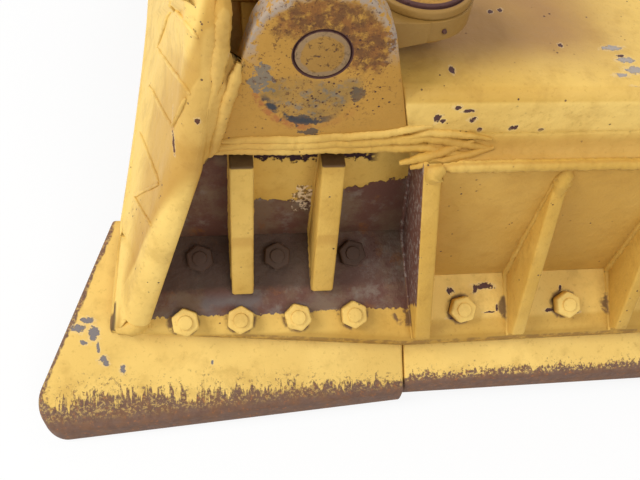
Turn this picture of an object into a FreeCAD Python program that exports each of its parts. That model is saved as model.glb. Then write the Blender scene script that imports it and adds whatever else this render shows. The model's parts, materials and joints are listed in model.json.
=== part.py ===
import FreeCAD, Part
import math
import os
import Sketcher

# A straight bulldozer blade, off its machine and lying on its face with its back up.
# X runs along the blade, Y up the blade from the cutting edge, Z out of its back.
# The sections are drawn from the tip line, the lower rear corner of a new cutting edge.

doc = FreeCAD.newDocument("DozerBlade")
sheet = doc.addObject("Spreadsheet::Sheet", "Sizes")

# name, millimetres or degrees, what it is
sizeTable = [
    ("bladeHeight", 1188, "from the end bits' tips to the moldboard's top edge"),
    ("moldWidth", 3208, "moldboard's length"),
    ("endStart", 150, "height above the tip line where the moldboard's ends begin to lean in"),
    ("edgeLean", 35, "angle between the cutting edge's face and the blade's upright"),
    ("topLean", 40, "how far the moldboard's top leans forward"),
    ("moldPlate", 16, "moldboard's plate"),
    ("arcStart", 268, "from the tip line along the edge to the start of the curve"),
    ("seatGap", 0.3, "gap under a piece that is seated on a curved face"),
    ("overcut", 1, "how far a cut reaches past what it cuts"),
    ("boltPitch", 152.4, "pitch of the cutting edge's bolts"),
    ("bitLength", 384.8, "from the end of the cutting edge to the moldboard's end"),
    ("edgeThickness", 25, "cutting edge's plate"),
    ("edgeTop", 228, "from the tip line to the cutting edge's upper side"),
    ("bitDrop", 23, "how far the end bits' outer corners reach below the tip line"),
    ("bitRise", 2, "how far their inner corners stand above it"),
    ("edgeWorn", 10, "how far the cutting edge is worn back from it"),
    ("bitTop", 256, "from the tip line to the end bit's upper side"),
    ("bitOverhangLow", 140, "from the moldboard's end to the end bit's lower corner"),
    ("bitOverhangHigh", 12, "the same for its upper corner"),
    ("bitCorner", 34, "radius of the end bit's lower corner"),
    ("edgeJointGap", 2, "gap between the lengths of the edge"),
    ("basePlate", 30, "plate behind the cutting edge"),
    ("baseFoot", 69, "from the tip line to the base plate's lower side"),
    ("baseOverhang", 16, "from the moldboard's end to the base plate's"),
    ("baseFootOuter", 106, "the same at the blade's outer corners"),
    ("baseHead", 235, "from the tip line to the base plate's upper side"),
    ("floorFoot", 165, "from the tip line to the box's lower plate, along the base plate"),
    ("floorPlate", 23, "box's lower plate"),
    ("ledgeHeight", 350, "box's ledge above the tip line, level with the corner ears' lower side"),
    ("boxPlate", 14, "box's bent plate"),
    ("boxTop", 434, "box's top above the tip line"),
    ("boxLap", 30, "how far the bent plate laps the lower plate"),
    ("boxSlope", 50, "slope of the bent plate's back, in degrees"),
    ("boxToe", 2, "heading of the curve where the bent plate meets it, in degrees"),
    ("boxBend", 20, "outer radius of the bent plate's rear bend"),
    ("boxBendBack", 46, "outer radius of its second bend"),
    ("wallPlate", 20, "wall of the corner's recess"),
    ("ribPlate", 18, "rib between the box and the base plate"),
    ("ribNose", 16, "height of a rib's lower end"),
    ("ribFoot", 80, "from the tip line to a rib's lower end"),
    ("ribDrop", 24, "from the ledge down to a rib's upper rear corner"),
    ("dividerPlate", 22, "rib at the joint of the edge and the end bit"),
    ("dividerInset", 16, "its foot, inboard of that joint"),
    ("dividerLean", 6, "how far it leans outwards"),
    ("dividerFoot", 85, "its foot above the tip line"),
    ("gussetPlate", 28, "gusset in the blade's corner"),
    ("gussetFoot", 152, "from the tip line to a gusset's lower end"),
    ("gussetDrop", 24, "from the ledge down to its top"),
    ("gussetInner", 266, "from the moldboard's end to the inner gusset"),
    ("gussetOuter", 160, "the same for the outer gusset"),
    ("cheekPlate", 36, "cheek at the blade's end"),
    ("cheekLean", 18, "how far a cheek's lower part leans inwards"),
    ("cheekLeanHigh", 4, "the same above its knee"),
    ("cheekKnee", 400, "middle of the cheek's knee above the tip line"),
    ("kneeReach", 60, "how far the knee reaches below and above that"),
    ("cheekInset", 136, "from the moldboard's end to where the cheek's two inner sides would meet"),
    ("cheekTop", 560, "cheek's top above the tip line"),
    ("cheekDepth", 235, "cheek's top along the blade's height"),
    ("cheekBend", 55, "cheek's rounded corner"),
    ("cheekFoot", 116, "from the tip line to a cheek's lower end"),
    ("cheekShoulder", 460, "where the cheek's sloping back ends, above the tip line"),
    ("cheekHump", 90, "cheek's height over the moldboard halfway up"),
    ("earPlate", 30, "ear that carries the corner pin"),
    ("earRadius", 73, "ear's round head"),
    ("earLean", 15, "slope of an ear's sides"),
    ("earGap", 0.3, "gap of an ear beside its neighbours"),
    ("cornerPinInset", 238, "from the moldboard's end to the corner pin"),
    ("cornerPinHeight", 486, "corner pin above the tip line"),
    ("cornerPinRadius", 28, "corner pin"),
    ("pinFit", 0.05, "radial play of a pin in its bore"),
    ("fixedFit", 0.3, "radial gap of a pin that is fixed in its seat"),
    ("knuckleWidth", 116, "knuckle between the ears"),
    ("knuckleSideGap", 3, "play of the knuckle beside each ear"),
    ("knuckleRest", 0.3, "gap under the resting knuckle"),
    ("knuckleReach", 112, "from the corner pin to the knuckle's upright pin"),
    ("knuckleHead", 56, "knuckle's round end about the upright pin"),
    ("armPlate", 24, "thickness of the knuckle's head"),
    ("armRise", 12, "head's upper side above the corner pin"),
    ("armGap", 4, "from the collar to the foot of the arm's slope"),
    ("collarRadius", 54, "collar round the upright pin"),
    ("collarHeight", 10, "collar's thickness"),
    ("uprightPinRadius", 47, "knuckle's upright pin"),
    ("uprightPinDepth", 34, "how deep it reaches into the knuckle"),
    ("uprightPinProud", 3, "how far it stands out of its collar"),
    ("railWidth", 84, "rail along the blade's top"),
    ("railHeight", 56, "the same, out of the moldboard"),
    ("railSetback", 40, "from the moldboard's top edge to the rail"),
    ("railChamfer", 14, "rail's chamfers"),
    ("backRibPlate", 16, "rib on the moldboard's back"),
    ("backRibHeight", 115, "the same at the box"),
    ("backRibHump", 60, "the same halfway up"),
    ("backRibInner", 215, "ribs' distances from the blade's middle"),
    ("backRibMiddle", 620, "the same for the second pair"),
    ("backRibOuter", 1100, "the same for the third pair"),
    ("liftLugX", 330, "lift lugs' distance from the blade's middle"),
    ("liftPinY", 285, "lift pin up the blade from the tip line"),
    ("liftPinHeight", 165, "lift pin above the box"),
    ("liftSpread", 30, "how far the lug's foot spreads on each side"),
    ("lugPlate", 28, "one cheek of a lug"),
    ("liftSlot", 66, "gap between a lift lug's cheeks"),
    ("liftRadius", 58, "lift lug's round head"),
    ("liftBore", 25.5, "radius of the lift lug's bore"),
    ("braceLugX", 860, "brace lugs' distance from the blade's middle"),
    ("braceSetback", 3, "from the brace lug to the rail"),
    ("bracePinHeight", 95, "brace pin above the moldboard"),
    ("braceSlot", 58, "gap between a brace lug's cheeks"),
    ("braceRadius", 52, "brace lug's round head"),
    ("braceBore", 22.5, "radius of the brace lug's bore"),
]

for number, (name, value, note) in enumerate(sizeTable, 1):
    sheet.set("A%d" % number, name)
    sheet.set("B%d" % number, str(value))
    sheet.set("C%d" % number, note)
    sheet.setAlias("B%d" % number, name)
doc.recompute()


class Size:
    """A length or an angle, with the sheet's formula that gives it."""

    def __init__(self, value, formula):
        self.value = value
        self.formula = formula

    @staticmethod
    def of(other):
        return other if isinstance(other, Size) else Size(float(other), repr(other))

    def mixed(self, other, sign, value):
        return Size(value, "(%s %s %s)" % (self.formula, sign, Size.of(other).formula))

    def __add__(self, other):
        return self.mixed(other, "+", self.value + Size.of(other).value)

    def __sub__(self, other):
        return self.mixed(other, "-", self.value - Size.of(other).value)

    def __mul__(self, other):
        return self.mixed(other, "*", self.value * Size.of(other).value)

    def __truediv__(self, other):
        return self.mixed(other, "/", self.value / Size.of(other).value)

    def __neg__(self):
        return self * -1

    def __radd__(self, other):
        return Size.of(other) + self

    def __rsub__(self, other):
        return Size.of(other) - self

    def __rmul__(self, other):
        return Size.of(other) * self


def sin(angle):
    return Size(math.sin(math.radians(angle.value)), "sin(%s)" % angle.formula)


def cos(angle):
    return Size(math.cos(math.radians(angle.value)), "cos(%s)" % angle.formula)


def tan(angle):
    return Size(math.tan(math.radians(angle.value)), "tan(%s)" % angle.formula)


class Sheet:
    """The sheet's sizes by name."""

    def __getattr__(self, name):
        return Size(float(getattr(sheet, name)), "Sizes." + name)


size = Sheet()
zero = Size.of(0)

# The tip line in the blade's frame: the end bits' front tips lie on the floor.
tipY = size.bitDrop - size.bladeHeight / 2
tipZ = size.bitDrop * tan(size.edgeLean) + size.edgeThickness / cos(size.edgeLean)


def onEdge(along, out):
    """A point of the section, along the edge's face and out of its back."""
    lean = size.edgeLean
    return (along * cos(lean) - out * sin(lean), along * sin(lean) + out * cos(lean))


def crossing(y, out):
    """How far along the edge a line at this height up the blade meets a face."""
    return (y + out * sin(size.edgeLean)) / cos(size.edgeLean)


# The moldboard's curve: straight on from the edge, an arc, then straight to the top edge.
topY = size.bladeHeight - size.bitDrop
arcFoot = onEdge(size.arcStart, zero)
turnSum = sin(size.edgeLean) + sin(size.topLean)
moldRadius = ((tan(size.topLean) * (topY - arcFoot[0]) - tipZ - arcFoot[1])
              / (cos(size.topLean) - cos(size.edgeLean) + tan(size.topLean) * turnSum))
arcCentre = (arcFoot[0] + moldRadius * sin(size.edgeLean),
             arcFoot[1] - moldRadius * cos(size.edgeLean))
backRadius = moldRadius + size.moldPlate


def onBack(heading, out=zero):
    """A point of the section above the curve's back, where the curve has this heading."""
    reach = backRadius + out
    return (arcCentre[0] - reach * sin(heading), arcCentre[1] + reach * cos(heading))


def onTop(along, out=zero):
    """A point above the straight top's back, measured from the end of the curve."""
    start = onBack(-size.topLean, out)
    return (start[0] + along * cos(size.topLean), start[1] - along * sin(size.topLean))


def bind(thing, path, value):
    thing.setExpression(path, Size.of(value).formula)


def newBody(name):
    body = doc.addObject("PartDesign::Body", name)
    body.Label = name
    return body


def place(body, x=zero, y=tipY, z=tipZ, tilt=None, axis=(1, 0, 0)):
    """Puts a body in the blade's frame, turned about an axis by a tilt above zero."""
    if tilt is not None:
        turn = FreeCAD.Rotation(FreeCAD.Vector(*axis), tilt.value)
        body.Placement = FreeCAD.Placement(FreeCAD.Vector(), turn)
        bind(body, ".Placement.Rotation.Angle", tilt)
    bind(body, ".Placement.Base.x", x)
    bind(body, ".Placement.Base.y", y)
    bind(body, ".Placement.Base.z", z)


def planeOf(body, role):
    return next(feature for feature in body.Origin.OriginFeatures if feature.Role == role)


def drawLoop(sketch, corners):
    """Closed outline through corners (x, y), or (x, y, centre x, centre y) after an arc."""
    first = sketch.GeometryCount
    count = len(corners)
    spots = [FreeCAD.Vector(c[0].value, c[1].value, 0) for c in corners]
    for index, corner in enumerate(corners):
        start, end = spots[index - 1], spots[index]
        if len(corner) == 2:
            sketch.addGeometry(Part.LineSegment(start, end), False)
            continue
        centre = FreeCAD.Vector(corner[2].value, corner[3].value, 0)
        ahead = (start - centre).cross(end - centre).z > 0
        low, high = (start, end) if ahead else (end, start)
        turns = [math.atan2(v.y - centre.y, v.x - centre.x) for v in (low, high)]
        circle = Part.Circle(centre, FreeCAD.Vector(0, 0, 1), (start - centre).Length)
        sketch.addGeometry(Part.ArcOfCircle(circle, turns[0], turns[1]), False)
    for index, corner in enumerate(corners):
        here, after = first + index, first + (index + 1) % count
        ends = [2, 1]
        for slot, line in enumerate((here, after)):
            shape = sketch.Geometry[line]
            if isinstance(shape, Part.ArcOfCircle):
                far = shape.EndPoint.distanceToPoint(spots[index])
                ends[slot] = 1 if shape.StartPoint.distanceToPoint(spots[index]) < far else 2
        sketch.addConstraint(Sketcher.Constraint("Coincident", here, ends[0], after, ends[1]))
        bound = [0, 1]
        if len(corner) == 4:
            pin(sketch, here, 3, 0, corner[2])
            pin(sketch, here, 3, 1, corner[3])
            flat = abs(spots[index].x - corner[2].value) < abs(spots[index].y - corner[3].value)
            bound = [0] if flat else [1]
        for axis in bound:
            pin(sketch, here, ends[0], axis, corner[axis])


def pin(sketch, line, end, axis, value):
    """Fixes one coordinate of a point of the sketch to a size."""
    kind = "DistanceX" if axis == 0 else "DistanceY"
    number = sketch.addConstraint(Sketcher.Constraint(kind, -1, 1, line, end, value.value))
    bind(sketch, "Constraints[%d]" % number, value)


def drawCircle(sketch, x, y, radius):
    circle = Part.Circle(FreeCAD.Vector(x.value, y.value, 0), FreeCAD.Vector(0, 0, 1), radius.value)
    line = sketch.addGeometry(circle, False)
    pin(sketch, line, 3, 0, x)
    pin(sketch, line, 3, 1, y)
    number = sketch.addConstraint(Sketcher.Constraint("Radius", line, radius.value))
    bind(sketch, "Constraints[%d]" % number, radius)


def drawing(body, role, loops=(), circles=(), offset=None):
    """A sketch on one of the body's own planes; offset lifts it off the plane."""
    sketch = body.newObject("Sketcher::SketchObject", body.Name + "_outline")
    sketch.AttachmentSupport = [(planeOf(body, role), "")]
    sketch.MapMode = "FlatFace"
    if offset is not None:
        bind(sketch, ".AttachmentOffset.Base.z", offset)
    for corners in loops:
        drawLoop(sketch, corners)
    for x, y, radius in circles:
        drawCircle(sketch, x, y, radius)
    return sketch


def pad(body, sketch, length, middle=False, back=False):
    feature = body.newObject("PartDesign::Pad", body.Name + "_pad")
    feature.Profile = sketch
    feature.Midplane = middle
    feature.Reversed = back
    bind(feature, "Length", length)
    return feature


def pocket(body, sketch, length, middle=False, back=False):
    """Cuts a sketch's shape out of a body, and makes sure that it took something away."""
    doc.recompute()
    before = body.Shape.Volume
    feature = body.newObject("PartDesign::Pocket", body.Name + "_cut")
    feature.Profile = sketch
    feature.Midplane = middle
    feature.Reversed = back
    bind(feature, "Length", length)
    doc.recompute()
    if not body.Shape.Volume < before:
        raise ValueError(body.Name + ": this cut takes nothing away")
    return feature


def roundEdges(body, feature, axis, spots, radius):
    """Rounds the edges that run along an axis through the given spots."""
    doc.recompute()
    others = [number for number in range(3) if number != axis]
    names = []
    for number, edge in enumerate(feature.Shape.Edges, 1):
        ends = [[vertex.Point[other] for other in others] for vertex in edge.Vertexes]
        for spot in spots:
            misses = [abs(end[k] - spot[k].value) for end in ends for k in (0, 1)]
            if len(misses) == 4 and max(misses) < 0.01:
                names.append("Edge%d" % number)
    if len(names) != len(spots):
        raise ValueError(body.Name + ": an edge to round wasn't found")
    fillet = body.newObject("PartDesign::Fillet", body.Name + "_round")
    fillet.Base = (feature, names)
    bind(fillet, "Radius", radius)
    return fillet


def sidePlate(name, corners, thickness, x=zero, circles=()):
    """A plate across the blade, drawn on its section and centred on x."""
    body = newBody(name)
    pad(body, drawing(body, "YZ_Plane", [corners], circles), thickness, middle=True)
    place(body, x)
    return body


def joined(name, bodies):
    """Several pieces of one kind as one node."""
    group = doc.addObject("Part::Compound", name)
    group.Label = name
    group.Links = bodies
    return group


sides = (("left", -1), ("right", 1))
nodes = []
halfWidth = size.moldWidth / 2
edgeLength = halfWidth - size.bitLength
cornerPinX = halfWidth - size.cornerPinInset
kneeLow = size.cheekKnee - size.kneeReach
kneeHigh = size.cheekKnee + size.kneeReach


def leaningEnds(body, top, endX):
    """Cuts a piece's two ends along lines whose distance from the middle endX gives, up to a top."""
    reach = endX(zero) + size.moldWidth
    loops = []
    for side in (-1, 1):
        loop = [(side * endX(height), height) for height in (zero, kneeLow, kneeHigh, top)]
        loops.append(loop + [(side * reach, top), (side * reach, zero)])
    pocket(body, drawing(body, "XZ_Plane", loops), size.bladeHeight * 2, middle=True)

# Moldboard
frontLine = [onEdge(size.baseHead, zero), arcFoot]
plate = size.moldPlate
frontEnd = (arcCentre[0] + moldRadius * sin(size.topLean), arcCentre[1] + moldRadius * cos(size.topLean))
backEnd = onTop(zero)
frontTip = (topY, -tipZ)
backTip = (topY, backEnd[1] - (topY - backEnd[0]) * tan(size.topLean))
backFoot = onEdge(size.arcStart, plate)
moldSection = [
    frontLine[0], frontLine[1], frontEnd + arcCentre, frontTip,
    backTip, backEnd, backFoot + arcCentre, onEdge(size.baseHead, plate),
]
moldboard = sidePlate("moldboard", moldSection, size.moldWidth)
moldCuts = []
for side in (-1, 1):
    rise = size.cheekTop - size.endStart
    foot = halfWidth + size.endStart * tan(size.cheekLean)
    moldCuts.append([
        (side * foot, zero), (side * (halfWidth - rise * tan(size.cheekLean)), size.cheekTop),
        (side * (foot + size.endStart), size.cheekTop), (side * (foot + size.endStart), zero),
    ])
pocket(moldboard, drawing(moldboard, "XZ_Plane", moldCuts), size.bladeHeight * 2, middle=True)
nodes.append(moldboard)

# Base plate behind the cutting edge, drawn flat: x along the blade, y up along the edge
base = newBody("base_edge")
baseReach = halfWidth + size.baseOverhang
baseOutline = [
    (baseReach, size.baseFootOuter), (halfWidth, size.baseHead), (-halfWidth, size.baseHead),
    (-baseReach, size.baseFootOuter), (-edgeLength, size.baseFoot), (edgeLength, size.baseFoot),
]
pad(base, drawing(base, "XY_Plane", [baseOutline]), size.basePlate)
place(base, tilt=size.edgeLean)
nodes.append(base)

# The corners: a pin through two ears, beside a bent cheek
pinZ = tipZ + size.cornerPinHeight
floorRear = size.floorFoot * cos(size.edgeLean) - size.basePlate * sin(size.edgeLean)
rearFace = floorRear + size.floorPlate
earBack = rearFace + size.earPlate
knuckleGap = size.knuckleWidth + size.knuckleSideGap * 2
innerEarFace = earBack + knuckleGap
wallFace = earBack + size.earGap


def cheekX(height, out=zero):
    """Distance of a cheek's inner face from the blade's middle, above the tip line."""
    if kneeLow.value < height.value < kneeHigh.value:
        share = (height - kneeLow) / (size.kneeReach * 2)
        return cheekX(kneeLow, out) * (1 - share) + cheekX(kneeHigh, out) * share
    rise = height - size.cheekKnee
    lean = size.cheekLean if rise.value < 0 else size.cheekLeanHigh
    return halfWidth - size.cheekInset + out / cos(lean) - rise * tan(lean)


def besideCheek(height):
    """Where a piece that ends at a cheek stops."""
    return cheekX(height) - size.earGap


def besideEar(height):
    """Where the box stops, level with the corner ear's head."""
    return cornerPinX + size.earRadius


# The box across the blade's back: a lower plate, and a bent plate over it
floorSection = [
    onEdge(size.floorFoot, size.basePlate), onEdge(crossing(rearFace, size.basePlate), size.basePlate),
    (rearFace, size.ledgeHeight), (floorRear, size.ledgeHeight),
]


def dividerX(height, out=zero):
    """Distance of a divider's middle from the blade's middle, above the tip line."""
    lean = size.dividerLean
    return edgeLength - size.dividerInset + (height - size.dividerFoot) * tan(lean) + out / cos(lean)


def besideDivider(height):
    """Where the box's lower plate stops."""
    return dividerX(height, -size.dividerPlate / 2) - size.seatGap


floorPart = sidePlate("box_floor", floorSection, edgeLength * 2 + size.dividerPlate * 2)
leaningEnds(floorPart, size.cheekTop, besideDivider)
nodes.append(floorPart)

toe = onBack(size.boxToe, size.seatGap)
slope = size.boxSlope
inside = size.boxPlate
backCorner = toe[0] - (size.boxTop - toe[1]) / tan(slope)
lapFoot = size.ledgeHeight - size.boxLap
innerFace, innerTop = rearFace + inside, size.boxTop - inside
innerCorner = backCorner - inside * tan(slope / 2)
boxSection = [
    (rearFace, lapFoot), (rearFace, size.boxTop), (backCorner, size.boxTop), toe,
    (toe[0] - inside / sin(slope), toe[1]), (innerCorner, innerTop), (innerFace, innerTop),
    (innerFace, lapFoot),
]
box = newBody("box_beam")
boxPad = pad(box, drawing(box, "YZ_Plane", [boxSection]), size.moldWidth, middle=True)
bend = roundEdges(box, boxPad, 0, [(rearFace, size.boxTop)], size.boxBend)
bend = roundEdges(box, bend, 0, [(innerFace, innerTop)], size.boxBend - inside)
bend = roundEdges(box, bend, 0, [(backCorner, size.boxTop)], size.boxBendBack)
roundEdges(box, bend, 0, [(innerCorner, innerTop)], size.boxBendBack - inside)
leaningEnds(box, size.cheekTop, besideEar)
earDrop = size.cornerPinHeight - size.ledgeHeight


def notchX(height):
    """Edge of the box's opening for an outer ear, a gap away from the ear's side."""
    side = size.earRadius / cos(size.earLean) + (size.cornerPinHeight - height) * tan(size.earLean)
    return cornerPinX - side - size.earGap


notchLow, notchHigh = lapFoot - size.overcut, size.boxTop + size.overcut
notches = []
for side in (-1, 1):
    notches.append([
        (side * notchX(notchLow), notchLow), (side * notchX(notchHigh), notchHigh),
        (side * halfWidth, notchHigh), (side * halfWidth, notchLow),
    ])
notchSketch = drawing(box, "XZ_Plane", notches, offset=-wallFace)
pocket(box, notchSketch, wallFace - rearFace + size.overcut, back=True)
place(box)
nodes.append(box)

# Ribs under the box, with one bolt of the edge between each pair
nose = size.basePlate + size.ribNose
ribSection = [
    onEdge(size.ribFoot, size.basePlate), onEdge(size.floorFoot, size.basePlate),
    (floorRear, size.ledgeHeight - size.ribDrop), onEdge(size.ribFoot, nose),
]
ribs = []
pitches = int(edgeLength.value / size.boltPitch.value + 0.01)
for number in range(1 - pitches, pitches):
    x = number * size.boltPitch
    ribs.append(sidePlate("edge_rib_%d" % (number + pitches), ribSection, size.ribPlate, x))
nodes.append(joined("edge_ribs", ribs))

gussetTop = size.ledgeHeight - size.gussetDrop
headRear = onEdge(size.baseHead, size.basePlate)
wallFoot = onEdge(crossing(wallFace, size.basePlate), size.basePlate)
wallRear = wallFace + size.wallPlate
dividerSection = [
    onEdge(size.ribFoot, size.basePlate), wallFoot, (wallFace, lapFoot), (rearFace, lapFoot),
    (rearFace, size.ledgeHeight), (floorRear, size.ledgeHeight), onEdge(size.ribFoot, nose),
]
gussetSection = [
    onEdge(size.gussetFoot, size.basePlate), wallFoot, (wallFace, gussetTop), (rearFace, gussetTop),
    onEdge(size.gussetFoot, nose),
]
wallSection = [
    wallFoot, headRear, onEdge(size.baseHead, plate), onEdge(crossing(wallRear, plate), plate),
    (wallRear, innerTop), (wallFace, innerTop),
]
wallStart = edgeLength

# Outline of a cheek, from the base plate past the ears and down the moldboard's back
seat = size.seatGap
topRun = (topY - backEnd[0]) / cos(size.topLean)
railFoot = topRun - size.railSetback - size.railWidth
cheekRear = rearFace
cheekSection = [
    onEdge(size.cheekFoot, size.basePlate), onEdge(size.cheekFoot, nose),
    (cheekRear, size.cheekShoulder), (cheekRear, size.cheekTop),
    (cheekRear + size.cheekDepth, size.cheekTop), onBack(-size.topLean / 3, size.cheekHump),
    onTop(railFoot - seat, size.railHeight), onTop(railFoot - seat, seat), onTop(zero, seat),
    onBack(size.edgeLean, seat) + arcCentre, onEdge(size.baseHead, plate + seat), headRear,
]


def profiled(name, strip, section, corners=(), radius=None):
    """A strip seen along the blade's height, cut to a section, some of whose corners are rounded."""
    slab = newBody(name + "_strip")
    pad(slab, drawing(slab, "XZ_Plane", [strip]), size.bladeHeight * 2, middle=True)
    place(slab)
    profile = newBody(name + "_profile")
    profilePad = pad(profile, drawing(profile, "YZ_Plane", [section]), size.moldWidth * 2, middle=True)
    if corners:
        roundEdges(profile, profilePad, 0, [section[number] for number in corners], radius)
    place(profile)
    piece = doc.addObject("Part::Common", name)
    piece.Base, piece.Tool = slab, profile
    piece.Label = name
    return piece


def earOutline(drop):
    """An ear seen along its pin: a round head on two sloping sides."""
    radius, lean = size.earRadius, size.earLean
    foot = radius / cos(lean) + drop * tan(lean)
    return [
        (-foot, -drop), (foot, -drop), (radius * cos(lean), radius * sin(lean)),
        (-radius * cos(lean), radius * sin(lean), zero, zero),
    ]


boss = size.cornerPinHeight - size.boxTop - size.knuckleRest
armTop = size.armRise
armLow = armTop - size.armPlate
slopeEnd = size.knuckleReach - size.collarRadius - size.armGap
knuckleY = tipY + earBack + knuckleGap / 2
boreRadius = size.cornerPinRadius + size.pinFit
for name, side in sides:
    x = side * cornerPinX
    wallEnd = cheekX(zero)
    wall = newBody("recess_wall_" + name)
    pad(wall, drawing(wall, "YZ_Plane", [wallSection], offset=side * wallStart), wallEnd - wallStart,
        back=side < 0)
    leaningEnds(wall, size.cheekTop, besideCheek)
    place(wall)
    nodes.append(wall)

    half = size.dividerPlate / 2
    leaning = [(side * dividerX(height, out), height) for height, out in (
        (zero, -half), (size.boxTop, -half), (size.boxTop, half), (zero, half))]
    nodes.append(profiled("divider_rib_" + name, leaning, dividerSection))
    gussets = []
    for spot, middle in (("inner", size.gussetInner), ("outer", size.gussetOuter)):
        gussets.append(sidePlate("gusset_%s_%s" % (spot, name), gussetSection, size.gussetPlate,
                                 side * (halfWidth - middle)))
    nodes.append(joined("corner_gussets_" + name, gussets))

    heights = (zero, kneeLow, kneeHigh, size.cheekTop + size.overcut)
    strip = [(side * cheekX(height), height) for height in heights]
    strip += [(side * cheekX(height, size.cheekPlate), height) for height in reversed(heights)]
    nodes.append(profiled("end_cheek_" + name, strip, cheekSection, (3, 4), size.cheekBend))

    for part, y, drop in (("ear_outer_", rearFace + size.earPlate / 2, earDrop),
                          ("ear_inner_", innerEarFace + size.earPlate / 2, boss + size.knuckleRest)):
        ear = newBody(part + name)
        pad(ear, drawing(ear, "XZ_Plane", [earOutline(drop)]), size.earPlate, middle=True)
        bore = drawing(ear, "XZ_Plane", circles=[(zero, zero, size.cornerPinRadius + size.fixedFit)])
        pocket(ear, bore, size.earPlate * 2, middle=True)
        place(ear, x, tipY + y, pinZ)
        nodes.append(ear)

    cornerPin = newBody("corner_pin_" + name)
    pinLength = size.earPlate * 2 + knuckleGap
    pad(cornerPin, drawing(cornerPin, "XZ_Plane", circles=[(zero, zero, size.cornerPinRadius)]),
        pinLength, middle=True)
    place(cornerPin, x, knuckleY, pinZ)
    nodes.append(cornerPin)

    # The knuckle: a hub on the corner pin, and an arm to a round head inboard of it
    reach = -side * size.knuckleReach
    knuckle = newBody("knuckle_" + name)
    pad(knuckle, drawing(knuckle, "XZ_Plane", circles=[(zero, zero, boss)]), size.knuckleWidth,
        middle=True)
    armOutline = [
        (zero, -boss * 0.8), (reach, armLow), (reach, armTop), (-side * slopeEnd, armTop),
        (zero, boss * 0.9),
    ]
    pad(knuckle, drawing(knuckle, "XZ_Plane", [armOutline]), size.knuckleWidth, middle=True)
    head = drawing(knuckle, "XY_Plane", circles=[(reach, zero, size.knuckleHead)], offset=armLow)
    pad(knuckle, head, size.armPlate)
    bore = drawing(knuckle, "XZ_Plane", circles=[(zero, zero, boreRadius)])
    pocket(knuckle, bore, size.knuckleWidth * 2, middle=True)
    socket = drawing(knuckle, "XY_Plane", offset=armTop,
                     circles=[(reach, zero, size.uprightPinRadius + size.fixedFit)])
    pocket(knuckle, socket, size.uprightPinDepth)
    place(knuckle, x, knuckleY, pinZ)
    nodes.append(knuckle)

    collar = newBody("knuckle_collar_" + name)
    rings = [(reach, zero, size.collarRadius), (reach, zero, size.uprightPinRadius + size.fixedFit)]
    pad(collar, drawing(collar, "XY_Plane", circles=rings, offset=armTop), size.collarHeight)
    place(collar, x, knuckleY, pinZ)
    nodes.append(collar)

    upright = newBody("knuckle_pin_" + name)
    uprightLength = size.uprightPinDepth + size.collarHeight + size.uprightPinProud
    pad(upright, drawing(upright, "XY_Plane", circles=[(reach, zero, size.uprightPinRadius)],
                         offset=armTop - size.uprightPinDepth), uprightLength)
    place(upright, x, knuckleY, pinZ)
    nodes.append(upright)

# Cutting edge in two lengths, and an end bit at each end
edgeFoot = size.edgeWorn / cos(size.edgeLean)
edgeFront = onEdge(edgeFoot, -size.edgeThickness)
edgeWear = (size.edgeWorn, edgeFront[1] - (edgeFront[0] - size.edgeWorn) * tan(size.edgeLean))
edgeSection = [
    onEdge(edgeFoot, zero), onEdge(size.edgeTop, zero), onEdge(size.edgeTop, -size.edgeThickness),
    edgeWear,
]
bitFoot = -2 * size.bitDrop / cos(size.edgeLean)
bitSection = [
    onEdge(bitFoot, zero), onEdge(size.bitTop, zero), onEdge(size.bitTop, -size.edgeThickness),
    onEdge(bitFoot, -size.edgeThickness),
]
jointGap = size.edgeJointGap / 2
bitHead = size.bitTop * cos(size.edgeLean)
for name, side in sides:
    nodes.append(sidePlate("cutting_edge_" + name, edgeSection, edgeLength - size.edgeJointGap,
                           side * edgeLength / 2))
    inner = edgeLength + jointGap
    bitReach = halfWidth + size.bitOverhangLow
    outline = newBody("bit_outline_" + name)
    outlinePad = pad(outline, drawing(outline, "XY_Plane", [[
        (side * inner, size.bitRise), (side * bitReach, -size.bitDrop),
        (side * (halfWidth + size.bitOverhangHigh), bitHead), (side * halfWidth, bitHead * 2),
        (side * inner, bitHead * 2),
    ]]), size.bladeHeight, middle=True)
    roundEdges(outline, outlinePad, 2, [(side * bitReach, -size.bitDrop)], size.bitCorner)
    place(outline)
    bit = doc.addObject("Part::Common", "end_bit_" + name)
    bit.Base, bit.Tool = sidePlate("bit_plate_" + name, bitSection, size.moldWidth * 2), outline
    bit.Label = "end_bit_" + name
    nodes.append(bit)

# Rail along the blade's top, and ribs between it and the box
chamfer = size.railChamfer
railSection = [
    onTop(railFoot, zero), onTop(railFoot, size.railHeight - chamfer),
    onTop(railFoot + chamfer, size.railHeight),
    onTop(railFoot + size.railWidth - chamfer, size.railHeight),
    onTop(railFoot + size.railWidth, size.railHeight - chamfer), onTop(railFoot + size.railWidth, zero),
]
nodes.append(sidePlate("top_rail", railSection, size.moldWidth))

ribRise = size.backRibHeight
backRibSection = [
    (toe[0] - ribRise / tan(slope) + seat, toe[1] + ribRise), onBack(-size.topLean / 2, size.backRibHump),
    onTop(railFoot - seat, size.railHeight - chamfer), onTop(railFoot - seat, seat), onTop(zero, seat),
    onBack(size.boxToe, seat) + arcCentre,
]
backRibs = []
for number, x in enumerate([side * spot for side in (-1, 1) for spot in
                            (size.backRibInner, size.backRibMiddle, size.backRibOuter)]):
    backRibs.append(sidePlate("back_rib_%d" % number, backRibSection, size.backRibPlate, x))
nodes.append(joined("back_ribs", backRibs))


def lugSection(spot, foot, pinOut, radius, spread):
    """A lug's cheek: spot gives a point of the section from (along, out)."""
    middle = spot(foot, pinOut)
    return [
        spot(foot - radius - spread, zero), spot(foot - radius, pinOut),
        spot(foot, pinOut + radius) + middle, spot(foot + radius, pinOut) + middle,
        spot(foot + radius + spread, zero),
    ]


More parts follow.
